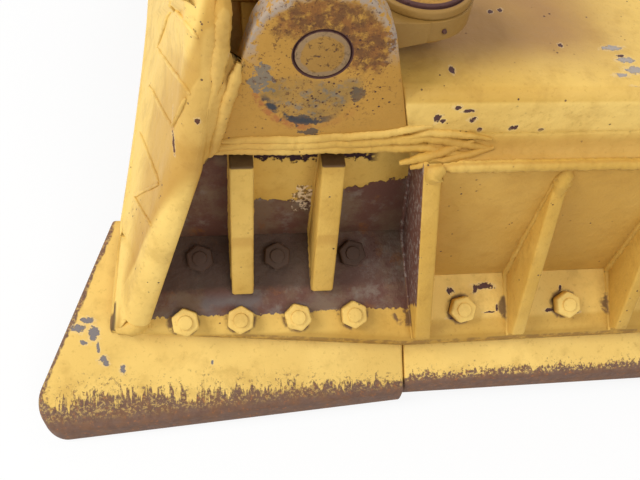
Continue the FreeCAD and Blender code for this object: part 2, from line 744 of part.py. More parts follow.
def onBox(along, out):
    """A point above the box's top."""
    return (along, size.boxTop + out)


liftOutline = lugSection(onBox, size.liftPinY, size.liftPinHeight, size.liftRadius, size.liftSpread)
braceFoot = railFoot - size.braceRadius - size.braceSetback
braceOutline = lugSection(onTop, braceFoot, size.bracePinHeight, size.braceRadius, zero)
liftPin = onBox(size.liftPinY, size.liftPinHeight) + (size.liftBore,)
bracePin = onTop(braceFoot, size.bracePinHeight) + (size.braceBore,)
for name, side in sides:
    for kind, outline, bore, slot, spot in (
            ("lift", liftOutline, liftPin, size.liftSlot, size.liftLugX),
            ("brace", braceOutline, bracePin, size.braceSlot, size.braceLugX)):
        cheeks = []
        for inOut in (-1, 1):
            x = side * spot + inOut * (slot + size.lugPlate) / 2
            cheeks.append(sidePlate("%s_lug_%s_%d" % (kind, name, inOut + 1), outline, size.lugPlate,
                                    x, [bore]))
        nodes.append(joined("%s_lugs_%s" % (kind, name), cheeks))

doc.recompute()
for thing in doc.Objects:
    if "Invalid" in thing.State or "Error" in thing.State:
        raise ValueError(thing.Name + " didn't rebuild")

os.makedirs("parts", exist_ok=True)
for node in nodes:
    if node.Shape.isNull() or not node.Shape.isValid():
        raise ValueError(node.Label + " has no valid shape")
    node.Shape.exportStep("parts/%s.step" % node.Label)
    print(node.Label, len(node.Shape.Solids), round(node.Shape.Volume))
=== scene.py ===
import json
import math

import bmesh
import bpy
from mathutils import Matrix, Vector, noise
from mathutils.bvhtree import BVHTree


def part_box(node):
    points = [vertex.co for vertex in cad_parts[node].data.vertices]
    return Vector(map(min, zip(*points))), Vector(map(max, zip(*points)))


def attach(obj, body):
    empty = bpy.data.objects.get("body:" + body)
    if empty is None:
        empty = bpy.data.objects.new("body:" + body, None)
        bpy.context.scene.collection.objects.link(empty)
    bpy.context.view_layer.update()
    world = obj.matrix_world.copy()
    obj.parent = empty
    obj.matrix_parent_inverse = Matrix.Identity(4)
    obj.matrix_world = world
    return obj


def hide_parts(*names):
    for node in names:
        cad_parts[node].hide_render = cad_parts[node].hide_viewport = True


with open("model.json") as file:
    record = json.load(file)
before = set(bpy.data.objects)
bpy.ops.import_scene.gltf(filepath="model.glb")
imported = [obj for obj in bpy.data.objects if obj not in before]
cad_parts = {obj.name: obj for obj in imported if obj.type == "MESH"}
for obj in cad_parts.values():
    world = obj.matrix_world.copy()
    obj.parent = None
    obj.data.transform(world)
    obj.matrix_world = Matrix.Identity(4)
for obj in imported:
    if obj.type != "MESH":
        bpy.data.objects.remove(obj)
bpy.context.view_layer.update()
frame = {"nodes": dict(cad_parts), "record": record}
nodes = frame["nodes"]
print("frame loaded:", len(nodes), "nodes")

# The tip line is the lower rear corner of the cutting edge. s runs from it up the edge, t out of its back.
edgeLean = math.radians(35)
edgePlate = {"top": 0.228, "thickness": 0.025}
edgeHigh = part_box("cutting_edge_left")[1]
tipY = edgeHigh[1] - edgePlate["top"] * math.cos(edgeLean) - edgePlate["thickness"] * math.sin(edgeLean)
tipZ = edgeHigh[2] - edgePlate["top"] * math.sin(edgeLean)


def onEdge(x, s, t):
    return Vector((x, tipY + s * math.cos(edgeLean) - t * math.sin(edgeLean),
                   tipZ + s * math.sin(edgeLean) + t * math.cos(edgeLean)))


def tip(x, y, z):
    # A point given along the blade, up the blade and out of its back from the tip line
    return Vector((x, tipY + y, tipZ + z))


def linked(name, data):
    # A new object in the scene
    thing = bpy.data.objects.new(name, data)
    bpy.context.collection.objects.link(thing)
    return thing


# Camera, at the place and angle of the photograph
eye = {"place": (-1.4645, -0.9717, 0.9811), "azimuth": 12.74, "down": 53.57, "roll": 8.41, "focal": 715.2,
       "imageWidth": 640, "imageHeight": 480, "sensor": 36}


def eyeAxes():
    turn, down, roll = (math.radians(eye[key]) for key in ("azimuth", "down", "roll"))
    ahead = Vector((math.sin(turn) * math.cos(down), math.cos(turn) * math.cos(down), -math.sin(down)))
    level = Vector((math.cos(turn), -math.sin(turn), 0))
    upright = level.cross(ahead)
    right = level * math.cos(roll) + upright * math.sin(roll)
    return right, right.cross(ahead), ahead


eyeRight, eyeUp, eyeAhead = eyeAxes()
cameraData = bpy.data.cameras.new("camera")
cameraData.sensor_width = eye["sensor"]
cameraData.lens = eye["focal"] / eye["imageWidth"] * eye["sensor"]
cameraData.clip_start = 0.01
camera = linked("camera", cameraData)
turned = Matrix((eyeRight, eyeUp, -eyeAhead)).transposed().to_4x4()
camera.matrix_world = Matrix.Translation(eye["place"]) @ turned
bpy.context.scene.camera = camera
bpy.context.scene.view_settings.view_transform = "Standard"


class Wire:
    # A socket that Python's operators can work on
    def __init__(self, tree, socket):
        self.tree, self.socket = tree, socket

    def maths(self, operation, first, second=None):
        node = self.tree.nodes.new("ShaderNodeMath")
        node.operation = operation
        for slot, value in zip(node.inputs, (first, second)):
            if isinstance(value, Wire):
                self.tree.links.new(value.socket, slot)
            elif value is not None:
                slot.default_value = value
        return Wire(self.tree, node.outputs[0])

    def __add__(self, other):
        return self.maths("ADD", self, other)

    def __radd__(self, other):
        return self.maths("ADD", other, self)

    def __sub__(self, other):
        return self.maths("SUBTRACT", self, other)

    def __rsub__(self, other):
        return self.maths("SUBTRACT", other, self)

    def __mul__(self, other):
        return self.maths("MULTIPLY", self, other)

    def __rmul__(self, other):
        return self.maths("MULTIPLY", other, self)

    def __truediv__(self, other):
        return self.maths("DIVIDE", self, other)

    def __pow__(self, other):
        return self.maths("POWER", self, other)

    def __abs__(self):
        return self.maths("ABSOLUTE", self)

    def least(self, other):
        return self.maths("MINIMUM", self, other)

    def most(self, other):
        return self.maths("MAXIMUM", self, other)


class Bench:
    # Puts nodes into a tree: their settings first, then the values or links of their sockets
    def __init__(self, tree):
        self.tree = tree

    def put(self, kind, settings=(), sockets=(), out=0):
        node = self.tree.nodes.new(kind)
        for name, value in dict(settings).items():
            setattr(node, name, value)
        for key, value in dict(sockets).items():
            if isinstance(value, Wire):
                self.tree.links.new(value.socket, node.inputs[key])
            elif value is not None:
                node.inputs[key].default_value = value
        return Wire(self.tree, node.outputs[out])

    def end(self, kind, made):
        # The tree's last node
        self.tree.links.new(made.socket, self.tree.nodes.new(kind).inputs[0])

    def shown(self):
        # 1 for rays that leave the camera, also when gloss or glass has turned them
        rays = self.tree.nodes.new("ShaderNodeLightPath")
        kinds = ("Is Camera Ray", "Is Glossy Ray", "Is Transmission Ray")
        direct, glossy, through = (Wire(self.tree, rays.outputs[kind]) for kind in kinds)
        return direct.most(glossy).most(through)


def away(across, along, middle=(0, 0), size=(1, 1)):
    # How far from a middle, counted in these sizes
    return (((across - middle[0]) / size[0]) ** 2 + ((along - middle[1]) / size[1]) ** 2) ** 0.5


class Finish(Bench):
    # A material in the making
    def __init__(self, name):
        self.material = bpy.data.materials.new(name)
        self.material.use_nodes = True
        super().__init__(self.material.node_tree)
        self.tree.nodes.clear()
        self.spot = self.put("ShaderNodeTexCoord", out="Object")
        parts = self.tree.nodes.new("ShaderNodeSeparateXYZ")
        self.tree.links.new(self.spot.socket, parts.inputs[0])
        self.x, self.y, self.z = (Wire(self.tree, socket) for socket in parts.outputs)
        # The same place from the tip line: up the blade, out of its back, and along the edge plate
        self.up, self.out, self.side = self.y - tipY, self.z - tipZ, abs(self.x)
        self.s = self.up * math.cos(edgeLean) + self.out * math.sin(edgeLean)
        self.t = self.out * math.cos(edgeLean) - self.up * math.sin(edgeLean)

    def grain(self, length, detail=4, rough=0.55, stretch=None, seed=0, twist=0):
        # Noise with features of this length in metres
        place = self.spot
        if stretch or seed:
            place = self.put("ShaderNodeMapping", {}, {"Vector": place, "Scale": stretch or (1, 1, 1),
                                                       "Location": (seed * 3.7, seed * 1.3, seed * 2.1)})
        return self.put("ShaderNodeTexNoise", {}, {"Vector": place, "Scale": 1 / length, "Detail": detail,
                                                   "Roughness": rough, "Distortion": twist})

    def patches(self, low, high, length, detail=4, rough=0.55, **more):
        # 1 where the noise is above these levels
        return self.step(self.grain(length, detail, rough, **more), low, high)

    def cells(self, length, seed=0):
        place = self.put("ShaderNodeMapping", {}, {"Vector": self.spot, "Location": (seed, seed, seed)})
        return self.put("ShaderNodeTexVoronoi", {}, {"Vector": place, "Scale": 1 / length})

    def blot(self, across, along, middle, size, rag, length, seed):
        # A ragged spot: 1 inside an ellipse whose outline wanders
        reach = away(across, along, middle, size)
        return self.step(reach + (self.grain(length, 4, 0.6, seed=seed) - 0.5) * (rag * 4), 1.06, 0.94)

    def step(self, value, low, high):
        # 0 below low, 1 above high, smooth between; low may be the larger
        return self.put("ShaderNodeMapRange", {"interpolation_type": "SMOOTHSTEP"},
                        {"Value": value, "From Min": low, "From Max": high})

    def zone(self, name):
        # 1 inside a named zone
        inside = 1
        for measure, (low, high, *more) in zones[name].items():
            inside = self.step(getattr(self, measure), low, high) * inside
            if more:
                inside = self.step(getattr(self, measure), *more[::-1]) * inside
        return inside

    def blend(self, share, first, second):
        colour = lambda value: value if isinstance(value, Wire) else (*value, 1)
        return self.put("ShaderNodeMix", {"data_type": "RGBA"},
                        {0: share, 6: colour(first), 7: colour(second)}, out=2)

    def close(self, colour, roughness, height, depth, gloss=0.3):
        bump = self.put("ShaderNodeBump", {}, {"Height": height, "Distance": depth, "Strength": 1})
        shader = self.put("ShaderNodeBsdfPrincipled", {}, {
            "Base Color": colour, "Roughness": roughness, "Normal": bump, "Specular IOR Level": gloss})
        self.end("ShaderNodeOutputMaterial", shader)
        return self.material


# Colours; several also serve as painted shade: the brown of the shadow behind the knuckle, the knuckle's
# olive-dark shade, the dark maroon, the steel's gloom and the deep ochre of the ears
tones = {
    "pale": (0.80, 0.545, 0.150), "warm": (0.53, 0.298, 0.046), "ochre": (0.35, 0.175, 0.022),
    "knuckleShade": (0.23, 0.120, 0.026), "castShadow": (0.35, 0.190, 0.065), "ear": (0.43, 0.215, 0.036),
    "chip": (0.075, 0.030, 0.025), "chipGrey": (0.19, 0.165, 0.16), "primer": (0.76, 0.60, 0.40),
    "rust": (0.22, 0.080, 0.022), "rustDark": (0.10, 0.036, 0.018), "rustBright": (0.42, 0.15, 0.04),
    "olive": (0.26, 0.155, 0.045), "soot": (0.045, 0.045, 0.050), "smoke": (0.130, 0.140, 0.135),
    "scorch": (0.34, 0.090, 0.036), "steelBrown": (0.17, 0.105, 0.062), "steelGrey": (0.22, 0.175, 0.135),
    "steelPurple": (0.120, 0.050, 0.034), "steelBlue": (0.15, 0.14, 0.135), "gloom": (0.060, 0.034, 0.022),
    "worn": (0.20, 0.095, 0.045), "wornDark": (0.085, 0.036, 0.022), "wornGrey": (0.22, 0.135, 0.095),
    "crust": (0.34, 0.29, 0.25), "maroon": (0.026, 0.007, 0.010), "pin": (0.28, 0.135, 0.027),
}


def yellow(finish, pale=0.12, seed=0):
    # Thick brushed paint: patches of paler and deeper yellow
    patch = finish.patches(0.36, 0.66, 0.22, 3, seed=seed)
    colour = finish.blend(patch * 0.45 + pale, tones["warm"], tones["pale"])
    mottle = finish.patches(0.46, 0.74, 0.035, 5, 0.62, seed=seed + 1)
    colour = finish.blend(mottle * 0.34, colour, tones["ochre"])
    fleck = finish.patches(0.58, 0.72, 0.006, 3, 0.6, seed=seed + 2)
    return finish.blend(fleck * 0.26, colour, tones["ochre"])


def chipped(finish, colour, length, amount, seed, deep="chip"):
    # Flakes off the paint, with a pale rim; a lower amount gives more of them
    field = finish.grain(length, 4, 0.62, seed=seed, twist=0.6)
    where = finish.patches(0.52, 0.60, length * 7, 1, seed=seed + 4)
    field = field + where * 0.07 - 0.07
    bare = finish.step(field, amount, amount + 0.012)
    rim = finish.step(field, amount - 0.012, amount) * (1 - bare)
    colour = finish.blend(rim * 0.3, colour, tones["primer"])
    return finish.blend(bare, colour, tones[deep]), bare


def flaked(finish, colour, across, along, spots, seed, deep="chip"):
    # Chips at known places, each (across, along, half width, half height)
    reach = 9
    for a, b, wide, high in spots:
        reach = away(across, along, (a, b), (wide, high)).least(reach)
    reach = reach + (finish.grain(0.006, 4, 0.7, seed=seed) - 0.5) * 3.4
    bare = finish.step(reach, 1.06, 0.92)
    colour = finish.blend(finish.step(reach, 1.7, 1.15) * 0.3, colour, tones["primer"])
    return finish.blend(bare, colour, tones[deep]), bare


def specks(finish, colour, seed, amount=0.1, length=0.011, deep="chip"):
    # Small scattered pits in the paint
    dot = finish.step(finish.cells(length, seed=seed), amount + 0.03, amount)
    some = finish.patches(0.54, 0.66, 0.05, 3, seed=seed + 5)
    return finish.blend(dot * some, colour, tones[deep]), dot * some


def paintHeight(finish, seed=0):
    # Brushed coats over plate: long swells, drips and orange peel
    swell = finish.grain(0.07, 1, 0.5, seed=seed)
    drips = finish.grain(0.019, 3, 0.55, seed=seed + 3)
    return swell * 1.3 + drips * 0.8


# Nuts: a row along the whole blade, closer set at the end bits, and one inside the two recesses
nutStyle = {"flats": 0.0333, "height": 0.018, "boltRadius": 0.0098, "boltRise": 0.0035, "edge": 0.0026,
            "bitRow": 0.118, "bitSpots": (1.5200, 1.4478, 1.3716, 1.2954), "steelRow": 0.201,
            "steelSpots": (1.4986, 1.3970, 1.2954), "pitch": 0.1524, "cells": 8,
            "turns": (0.14, -0.09, 0.25, 0.05, -0.3, 0.4, 0.2)}

# The knuckles' upright pins, from the middle of the blade and the tip line, and where their heads start
knucklePin = {"middle": (1.254, 0.232), "radius": 0.047, "head": (0.47, 0.475)}

# The corner pins run along Y
pinLow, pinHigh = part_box("corner_pin_left")
cornerPin = {"middle": (-(pinLow[0] + pinHigh[0]) / 2, (pinLow[2] + pinHigh[2]) / 2), "back": pinLow[1]}

# Marks that the photograph shows on the left end: (distance from the middle, height, half sizes)
marks = {
    "rear": [(1.2323, 0.4006, 0.004, 0.006), (1.2268, 0.396, 0.003, 0.003), (1.2186, 0.4308, 0.0035, 0.006),
             (1.2136, 0.415, 0.004, 0.003), (1.2013, 0.4105, 0.007, 0.0022), (1.1932, 0.397, 0.004, 0.0035),
             (1.1798, 0.3814, 0.003, 0.003), (1.1421, 0.3838, 0.004, 0.0035), (1.1079, 0.3801, 0.003, 0.0025),
             (1.1546, 0.4302, 0.007, 0.001)],
    "top": [(1.0189, 0.2166, 0.010, 0.004), (1.0108, 0.1958, 0.009, 0.004), (1.004, 0.179, 0.011, 0.005),
            (1.0106, 0.1497, 0.010, 0.004), (1.0237, 0.1708, 0.007, 0.003)],
    "topDark": [(1.1483, 0.2808, 0.003, 0.003), (1.135, 0.2847, 0.003, 0.003), (1.2164, 0.1795, 0.003, 0.005),
                (1.0802, 0.2216, 0.003, 0.003), (1.0135, 0.2030, 0.004, 0.002)],
    "cheek": [(1.4505, 0.484, 0.004, 0.0035), (1.489, 0.410, 0.003, 0.003), (1.5155, 0.372, 0.0013, 0.010)],
    "bit": [(1.6503, 0.1234, 0.008, 0.004), (1.6632, 0.1135, 0.007, 0.006), (1.6445, 0.1061, 0.006, 0.009),
            (1.6575, 0.0936, 0.004, 0.003), (1.6387, 0.0861, 0.002, 0.007), (1.6328, 0.0701, 0.006, 0.004),
            (1.6292, 0.0647, 0.004, 0.004), (1.6077, 0.0556, 0.0035, 0.005), (1.4879, 0.0581, 0.0015, 0.003)],
    "pad": [(1.157, 0.1440, 0.005, 0.004), (1.108, 0.1485, 0.012, 0.004), (1.121, 0.144, 0.003, 0.006),
            (1.100, 0.1115, 0.007, 0.0015), (1.090, 0.117, 0.0015, 0.006), (1.0114, 0.1103, 0.008, 0.0022),
            (0.9786, 0.1059, 0.010, 0.002), (0.995, 0.142, 0.002, 0.005), (1.1512, 0.1055, 0.009, 0.0015)],
}


def nearEnd(finish):
    # 1 on the blade's left half, where the photograph was taken
    return finish.step(finish.x, 0.001, -0.001)


def nutRing(finish, low, high):
    # 1 in a ring about each nut of the lower row
    pitch = nutStyle["pitch"] / 2
    number = finish.side / pitch
    aside = (number - number.maths("ROUND", number)) * pitch
    around = away(aside, finish.s, (0, nutStyle["bitRow"]))
    around = around + (finish.grain(0.008, 3, 0.6, seed=71) - 0.5) * 0.006
    return finish.step(around, high, low)


# Where a layer of paint, grime, painted light or painted shade lies: each measure fades in between its first
# two numbers, and where there are four, out again between the last two
zones = {
    "rear": {"up": (0.1430, 0.1415), "out": (0.374, 0.384)},
    "top": {"out": (0.4320, 0.4335, 0.4345, 0.4360)},
    "nuts": {"t": (0.034, 0.040), "up": (0.12, 0.11)},
    "ledge": {"up": (0.1175, 0.120, 0.1375, 0.1415), "out": (0.384, 0.362), "side": (1.245, 1.225)},
    "knuckleShade": {"side": (0.95, 1.10, 1.34, 1.40), "up": (0.16, 0.24, 0.5, 0.75)},
    "arm": {"out": (0.446, 0.452), "up": (0.1725, 0.1735, 0.291, 0.293), "side": (1.18, 1.19, 1.42, 1.43)},
    "crest": {"side": (1.425, 1.435, 1.515, 1.535), "out": (0.36, 0.40), "up": (0.20, 0.17)},
    "under": {"out": (0.338, 0.340, 0.3500, 0.3545), "up": (0.128, 0.130, 0.145, 0.150),
              "side": (1.285, 1.30, 1.48, 1.49)},
    "feet": {"t": (0.0345, 0.0315), "up": (0.12, 0.11)},
    "pad": {"s": (0.100, 0.108), "t": (0.0325, 0.031), "side": (1.215, 1.205)},
    "floor": {"up": (0.114, 0.117, 0.1185, 0.1195), "t": (0.031, 0.0325)},
    "brow": {"s": (0.100, 0.094), "t": (0.0306, 0.0285)},
    "crease": {"s": (0.100, 0.094), "t": (0.0264, 0.0257)},
    "pinHead": {"out": knucklePin["head"], "up": (0.172, 0.176)},
}

# The line at which each cheek's ridge turns into the outer slope
ridgeLine = {"side": 1.512, "height": 0.4, "lean": 0.30, "soft": 0.010}


def paintYellow():
    finish = Finish("paint_yellow")
    step, grain, blend, side = finish.step, finish.grain, finish.blend, finish.side
    up, out = finish.up, finish.out
    rear, top, nuts = finish.zone("rear"), finish.zone("top"), finish.zone("nuts")
    skirtSide = side + (out - ridgeLine["height"]) * ridgeLine["lean"] - ridgeLine["side"]
    outside = step(skirtSide, 0.0, ridgeLine["soft"]) * step(up, 0.02, 0.06)
    # Painted light: the box's rear face, the outer slopes, the nuts and, a little, the box's top are painted
    # paler as lit faces
    colour = yellow(finish, 0.14 + (rear * 0.5).most(outside * 0.8).most(nuts * 0.55).most(top * 0.1))
    # Painted shade: the cheek's ridge is darkened, more towards its foot
    ridge = step(side, 1.40, 1.42) * step(skirtSide, ridgeLine["soft"], 0.0) * (1 - nuts)
    lower = step(up, 0.16, 0.10) * 0.25
    colour = blend(ridge * (lower + 0.4), colour, tones["ear"])
    # Painted shade: the ledge is darkened, a patchy painted shadow lies on the box behind the knuckle, and
    # the knuckle's arm is darkened as in shade
    colour = blend(finish.zone("ledge") * 0.55, colour, tones["ear"])
    knuckleShade = finish.zone("knuckleShade") * (0.65 + grain(0.1, 3, seed=14) * 0.7)
    colour = blend(knuckleShade, colour, tones["castShadow"])
    colour = blend(finish.zone("arm") * 0.85, colour, tones["knuckleShade"])
    around = abs(away(side, up, knucklePin["middle"]) - knucklePin["radius"])
    rim = step(around, 0.0030, 0.0018) * step(out, *knucklePin["head"])
    colour = blend(rim, colour, tones["chip"])
    colour, bare = chipped(finish, colour, 0.020, 0.745, 11)
    colour, dots = specks(finish, colour, 3)
    colour = blend(finish.zone("crest"), colour, specks(finish, colour, 4, 0.19, 0.0055)[0])
    near = nearEnd(finish)
    marked, rearBare = flaked(finish, colour, side, out, marks["rear"], 80)
    colour = blend(near * rear, colour, marked)
    marked, topBare = flaked(finish, colour, side, up, marks["top"], 90, "crust")
    marked, darkBare = flaked(finish, marked, side, up, marks["topDark"], 92)
    colour = blend(near * top, colour, marked)
    marked, cheekBare = flaked(finish, colour, side, out, marks["cheek"], 95, "rustDark")
    cheekNear = near * step(side, 1.44, 1.445)
    colour = blend(cheekNear, colour, marked)
    # Painted shade in dark maroon under the ear's lowest weld, and a dark band round the feet of the nuts
    under = finish.zone("under") * finish.patches(0.42, 0.5, 0.03, 3, seed=16)
    feet = finish.zone("feet") * nutRing(finish, 0.030, 0.034)
    colour = blend(under.most(feet) * 0.85, colour, tones["maroon"])
    sunk = bare * 0.4 + dots * 0.3 + rearBare * near * rear * 0.35 + cheekBare * cheekNear * 0.35
    height = paintHeight(finish) - sunk - topBare.most(darkBare) * near * top * 0.35
    roughness = 0.5 + 0.2 * grain(0.03, 3, seed=8) + bare * 0.2
    return finish.close(colour, roughness, height, 0.0028)


def steelColour(finish):
    # Bare plate that has rusted: brown, purple and grey clouds, with red rust
    cloud = finish.grain(0.07, 5, 0.65, seed=31)
    colour = finish.blend(finish.step(cloud, 0.40, 0.62), tones["steelPurple"], tones["steelBrown"])
    grey = finish.patches(0.50, 0.68, 0.05, 5, 0.7, seed=33)
    colour = finish.blend(grey * 0.7, colour, tones["steelGrey"])
    colour = finish.blend(finish.patches(0.56, 0.70, 0.03, 6, 0.7, seed=35) * 0.75, colour,
                          tones["rust"])
    speck = finish.patches(0.56, 0.70, 0.004, 4, 0.7, seed=37)
    return finish.blend(speck * 0.4, colour, tones["rustDark"])


# The two end recesses: distances from the blade's middle, heights from the tip line
recess = {"dividerFoot": 1.2032, "dividerLean": math.tan(math.radians(6)), "dividerFootHeight": 0.085,
          "dividerHalf": 0.0108, "steelFoot": 0.123, "plateTop": 0.0312, "gloomFoot": 0.152,
          "cheekLean": math.tan(math.radians(18)), "cheekFoot": 1.598, "outerGusset": 1.444,
          "innerGusset": 1.338, "curtain": 0.228, "maroon": 0.304, "gussetTop": 0.326}


def dividerX(height, out=0):
    # How far from the blade's middle the divider stands at this height
    return (recess["dividerFoot"] + (height - recess["dividerFootHeight"]) * recess["dividerLean"]
            + out)


def paintBase():
    # Plates behind the edge: paint, but bare steel in the two end recesses
    finish = Finish("paint_base")
    step, grain, blend, patches, side = finish.step, finish.grain, finish.blend, finish.patches, finish.side
    out = finish.out
    # Painted light and shade: the plate's back round the nuts is painted paler as a lit face, and the face
    # under the ledge and the plate's rounded lower end, which faces down, are painted darker
    colour = yellow(finish, 0.12 + finish.zone("pad") * 0.5, seed=2)
    colour = blend(finish.zone("floor") * 0.45, colour, tones["ear"])
    colour = blend(finish.zone("brow") * 0.5, colour, tones["ochre"])
    crease = finish.zone("crease") * patches(0.38, 0.54, 0.012, 4, 0.65, seed=43)
    colour = blend(crease * 0.45, colour, tones["rustDark"])
    colour, bare = chipped(finish, colour, 0.02, 0.735, 21)
    colour, dots = specks(finish, colour, 6)
    marked, padBare = flaked(finish, colour, side, finish.s, marks["pad"], 100)
    onPlate = step(finish.t, 0.034, 0.032)
    here = nearEnd(finish) * onPlate
    colour = blend(here, colour, marked)
    seam = nutRing(finish, 0.0185, 0.0235) * patches(0.44, 0.54, 0.02, 3, seed=72)
    colour = blend(seam * onPlate * 0.8, colour, tones["chip"])
    past = side - dividerX(out)
    inside = step(past, recess["dividerHalf"] - 0.001, recess["dividerHalf"] + 0.0002)
    cheekSide = side + out * recess["cheekLean"] - recess["cheekFoot"]
    inside = inside * step(cheekSide, 0.008, 0.006)
    jag = (grain(0.007, 4, 0.6, seed=23) - 0.5) * 0.016
    jag = jag + (grain(0.05, 2, seed=24) - 0.5) * 0.010
    above = step(finish.s + jag, recess["steelFoot"], recess["steelFoot"] + 0.0012)
    plate = inside * above * step(finish.t, recess["plateTop"] + 0.0008, recess["plateTop"])
    steel = steelColour(finish)
    blue = step(finish.s, 0.160, 0.140) * step(side, 1.30, 1.42)
    steel = blend(blue * patches(0.40, 0.60, 0.05, 4, seed=25) * 0.6, steel,
                         tones["steelBlue"])
    # Painted shadow: the steel is darkened on the plate's upper part in the recesses, most towards the cheek
    deep = step(finish.s + jag * 0.6, recess["gloomFoot"], recess["gloomFoot"] + 0.012)
    deep = deep * (step(side, 1.24, 1.42) * 0.55 + 0.3)
    steel = blend(deep, steel, tones["gloom"])
    colour = blend(plate, colour, steel)
    crusty = inside * step(past, 0.020, 0.016) * step(finish.t, 0.031, 0.032)
    crusty = crusty * step(finish.s + jag, recess["steelFoot"] + 0.004, recess["steelFoot"] + 0.008)
    flake = patches(0.50, 0.64, 0.007, 5, 0.7, seed=26)
    colour = blend(crusty, colour, blend(flake * 0.7, tones["steelPurple"], tones["crust"]))
    # Painted shade with rust: the gussets' tops are dark maroon
    topped = inside * step(out, recess["gussetTop"] - 0.003, recess["gussetTop"] - 0.001)
    topped = topped * step(finish.t, 0.031, 0.032) * step(past, 0.04, 0.06)
    colour = blend(topped * 0.85, colour, tones["maroon"])
    height = paintHeight(finish, 2) - bare * 0.4 - plate * 0.25 - dots * 0.3 - padBare * here * 0.4
    height = height + plate * grain(0.006, 3, 0.7, seed=27) * 0.4
    roughness = 0.5 + 0.2 * grain(0.03, 3, seed=9) + bare * 0.2
    return finish.close(colour, roughness, height, 0.0028, 0.25)


def bareSteel():
    # The recess's wall: rusty steel under a ragged curtain of paint
    finish = Finish("bare_steel")
    step, grain, blend, side = finish.step, finish.grain, finish.blend, finish.side
    out = finish.out
    rag = (grain(0.012, 5, 0.65, seed=62) - 0.5) * 0.036
    inner = step(side, recess["innerGusset"], recess["innerGusset"] - 0.01)
    outer = step(side, recess["outerGusset"], recess["outerGusset"] + 0.01)
    slant = (recess["innerGusset"] - side) * 0.28 + 0.013
    foot = inner * slant + outer * 0.2 + recess["curtain"]
    painted = step(out + rag - foot, 0, 0.0015)
    # Painted shade: the painted wall turns dark maroon at its top, under the ear's weld
    clearOfShade = step(out + rag * 1.6, recess["maroon"] + 0.004, recess["maroon"])
    clearOfShade = clearOfShade.most(inner * step(side, 1.29, 1.275))
    flake = finish.blot(side, out, (1.362, 0.232), (0.016, 0.020), 0.9, 0.008, 63)
    steel = steelColour(finish)
    # Painted shade: the nuts in the recess are darkened
    nut = step(finish.up, 0.168, 0.165)
    steel = blend(nut * 0.9, steel, tones["gloom"])
    colour = blend(painted, steel, yellow(finish, 0.02, seed=9))
    colour = blend(painted * (1 - clearOfShade), colour, tones["maroon"])
    broken = finish.patches(0.46, 0.54, 0.006, 4, 0.6, seed=64)
    colour = blend(flake * broken * 0.8, colour, tones["primer"])
    colour = blend(flake * (1 - broken) * 0.7, colour, tones["chip"])
    # Painted shade: darker still outside the outer gusset, under the ear
    dark = step(out, 0.300, 0.322) * outer
    colour = blend(dark * 0.75, colour, tones["maroon"])
    height = grain(0.010, 4, 0.65, seed=39) * 0.5 + painted * clearOfShade * 0.8
    return finish.close(colour, 0.55 + 0.25 * grain(0.02, 4, seed=38), height, 0.0016, 0.2)


# Wear along the lower edges: heights of the worn band, and the end bit's outline
wear = {"edgeFoot": 0.0122, "bitStart": 1.2192, "bitFoot": 0.0024, "bitDrop": 0.0582, "edgeBand": 0.014,
        "bitBand": 0.018, "bitGrowth": 0.052, "corner": (1.744, -0.028), "inward": (-0.912, -0.411)}


def paintEdge():
    # Cutting edge and end bits: the lower strip is worn to brown steel in upright streaks
    finish = Finish("paint_edge")
    step, grain, blend, patches, side = finish.step, finish.grain, finish.blend, finish.patches, finish.side
    # Painted light: the edge's paint is painted paler all over, as a face that the light falls on
    colour = yellow(finish, 0.72, seed=5)
    bit = step(side, wear["bitStart"] - 0.0005, wear["bitStart"] + 0.0005)
    past = side - wear["bitStart"]
    foot = (1 - bit) * wear["edgeFoot"] + bit * (wear["bitFoot"] - past * wear["bitDrop"])
    band = (1 - bit) * wear["edgeBand"] + bit * (past * wear["bitGrowth"] + wear["bitBand"])
    streak = (grain(0.007, 5, 0.68, stretch=(1, 0.16, 0.16), seed=41) - 0.5)
    ragged = (grain(0.03, 4, 0.6, seed=42) - 0.5)
    rise = (finish.s - foot) / band
    reach = rise + streak * 2.6 + ragged * 1.3
    worn = step(reach, 1.06, 0.90)
    cornerX, cornerS = wear["corner"]
    inX, inS = wear["inward"]
    outer = (side - cornerX) * inX + (finish.s - cornerS) * inS
    worn = worn.most(step(outer + ragged * 0.018, 0.0075, 0.005) * bit)
    speckle = patches(0.56, 0.62, 0.005, 4, 0.7, seed=48)
    worn = worn.most(speckle * step(reach, 2.0, 1.0) * 0.9)
    steel = blend(grain(0.010, 5, 0.7, seed=44), tones["wornDark"], tones["wornGrey"])
    steel = blend(patches(0.42, 0.66, 0.02, 4, seed=45) * 0.6, steel, tones["worn"])
    left = patches(0.50, 0.60, 0.004, 5, 0.7, seed=49) * (0.8 - bit * 0.35)
    steel = blend(left * step(rise, 0.15, 0.6), steel, tones["pale"])
    bright = patches(0.56, 0.68, 0.006, 4, 0.7, seed=39)
    steel = blend(bright * 0.5, steel, tones["rustBright"])
    colour = blend(worn, colour, steel)
    colour, bare = chipped(finish, colour, 0.026, 0.745, 47, "chipGrey")
    here = nearEnd(finish) * bit
    marked, bitBare = flaked(finish, colour, side, finish.s, marks["bit"], 110, "chipGrey")
    colour = blend(here, colour, marked)
    height = paintHeight(finish, 5) * 0.6 - worn * 0.3 - (bare + bitBare * here) * 0.4
    height = height + worn * grain(0.008, 4, seed=46)
    roughness = 0.48 + 0.2 * grain(0.03, 3, seed=9) + worn * 0.1
    return finish.close(colour, roughness, height, 0.0018, 0.25)


# The ear seen along its pin: places from the pin's middle and half sizes of the burnt ring and its stains
ear = {"ring": ((-0.006, -0.028), (0.054, 0.061)), "groove": 0.0300, "face": 0.012,
       "stains": (("smoke", 0.75, (-0.058, -0.029), (0.011, 0.015)),
                  ("soot", 0.7, (0.040, -0.050), (0.008, 0.011)),
                  ("soot", 0.8, (-0.006, -0.104), (0.010, 0.005)),
                  ("soot", 0.8, (-0.014, -0.086), (0.016, 0.006)))}


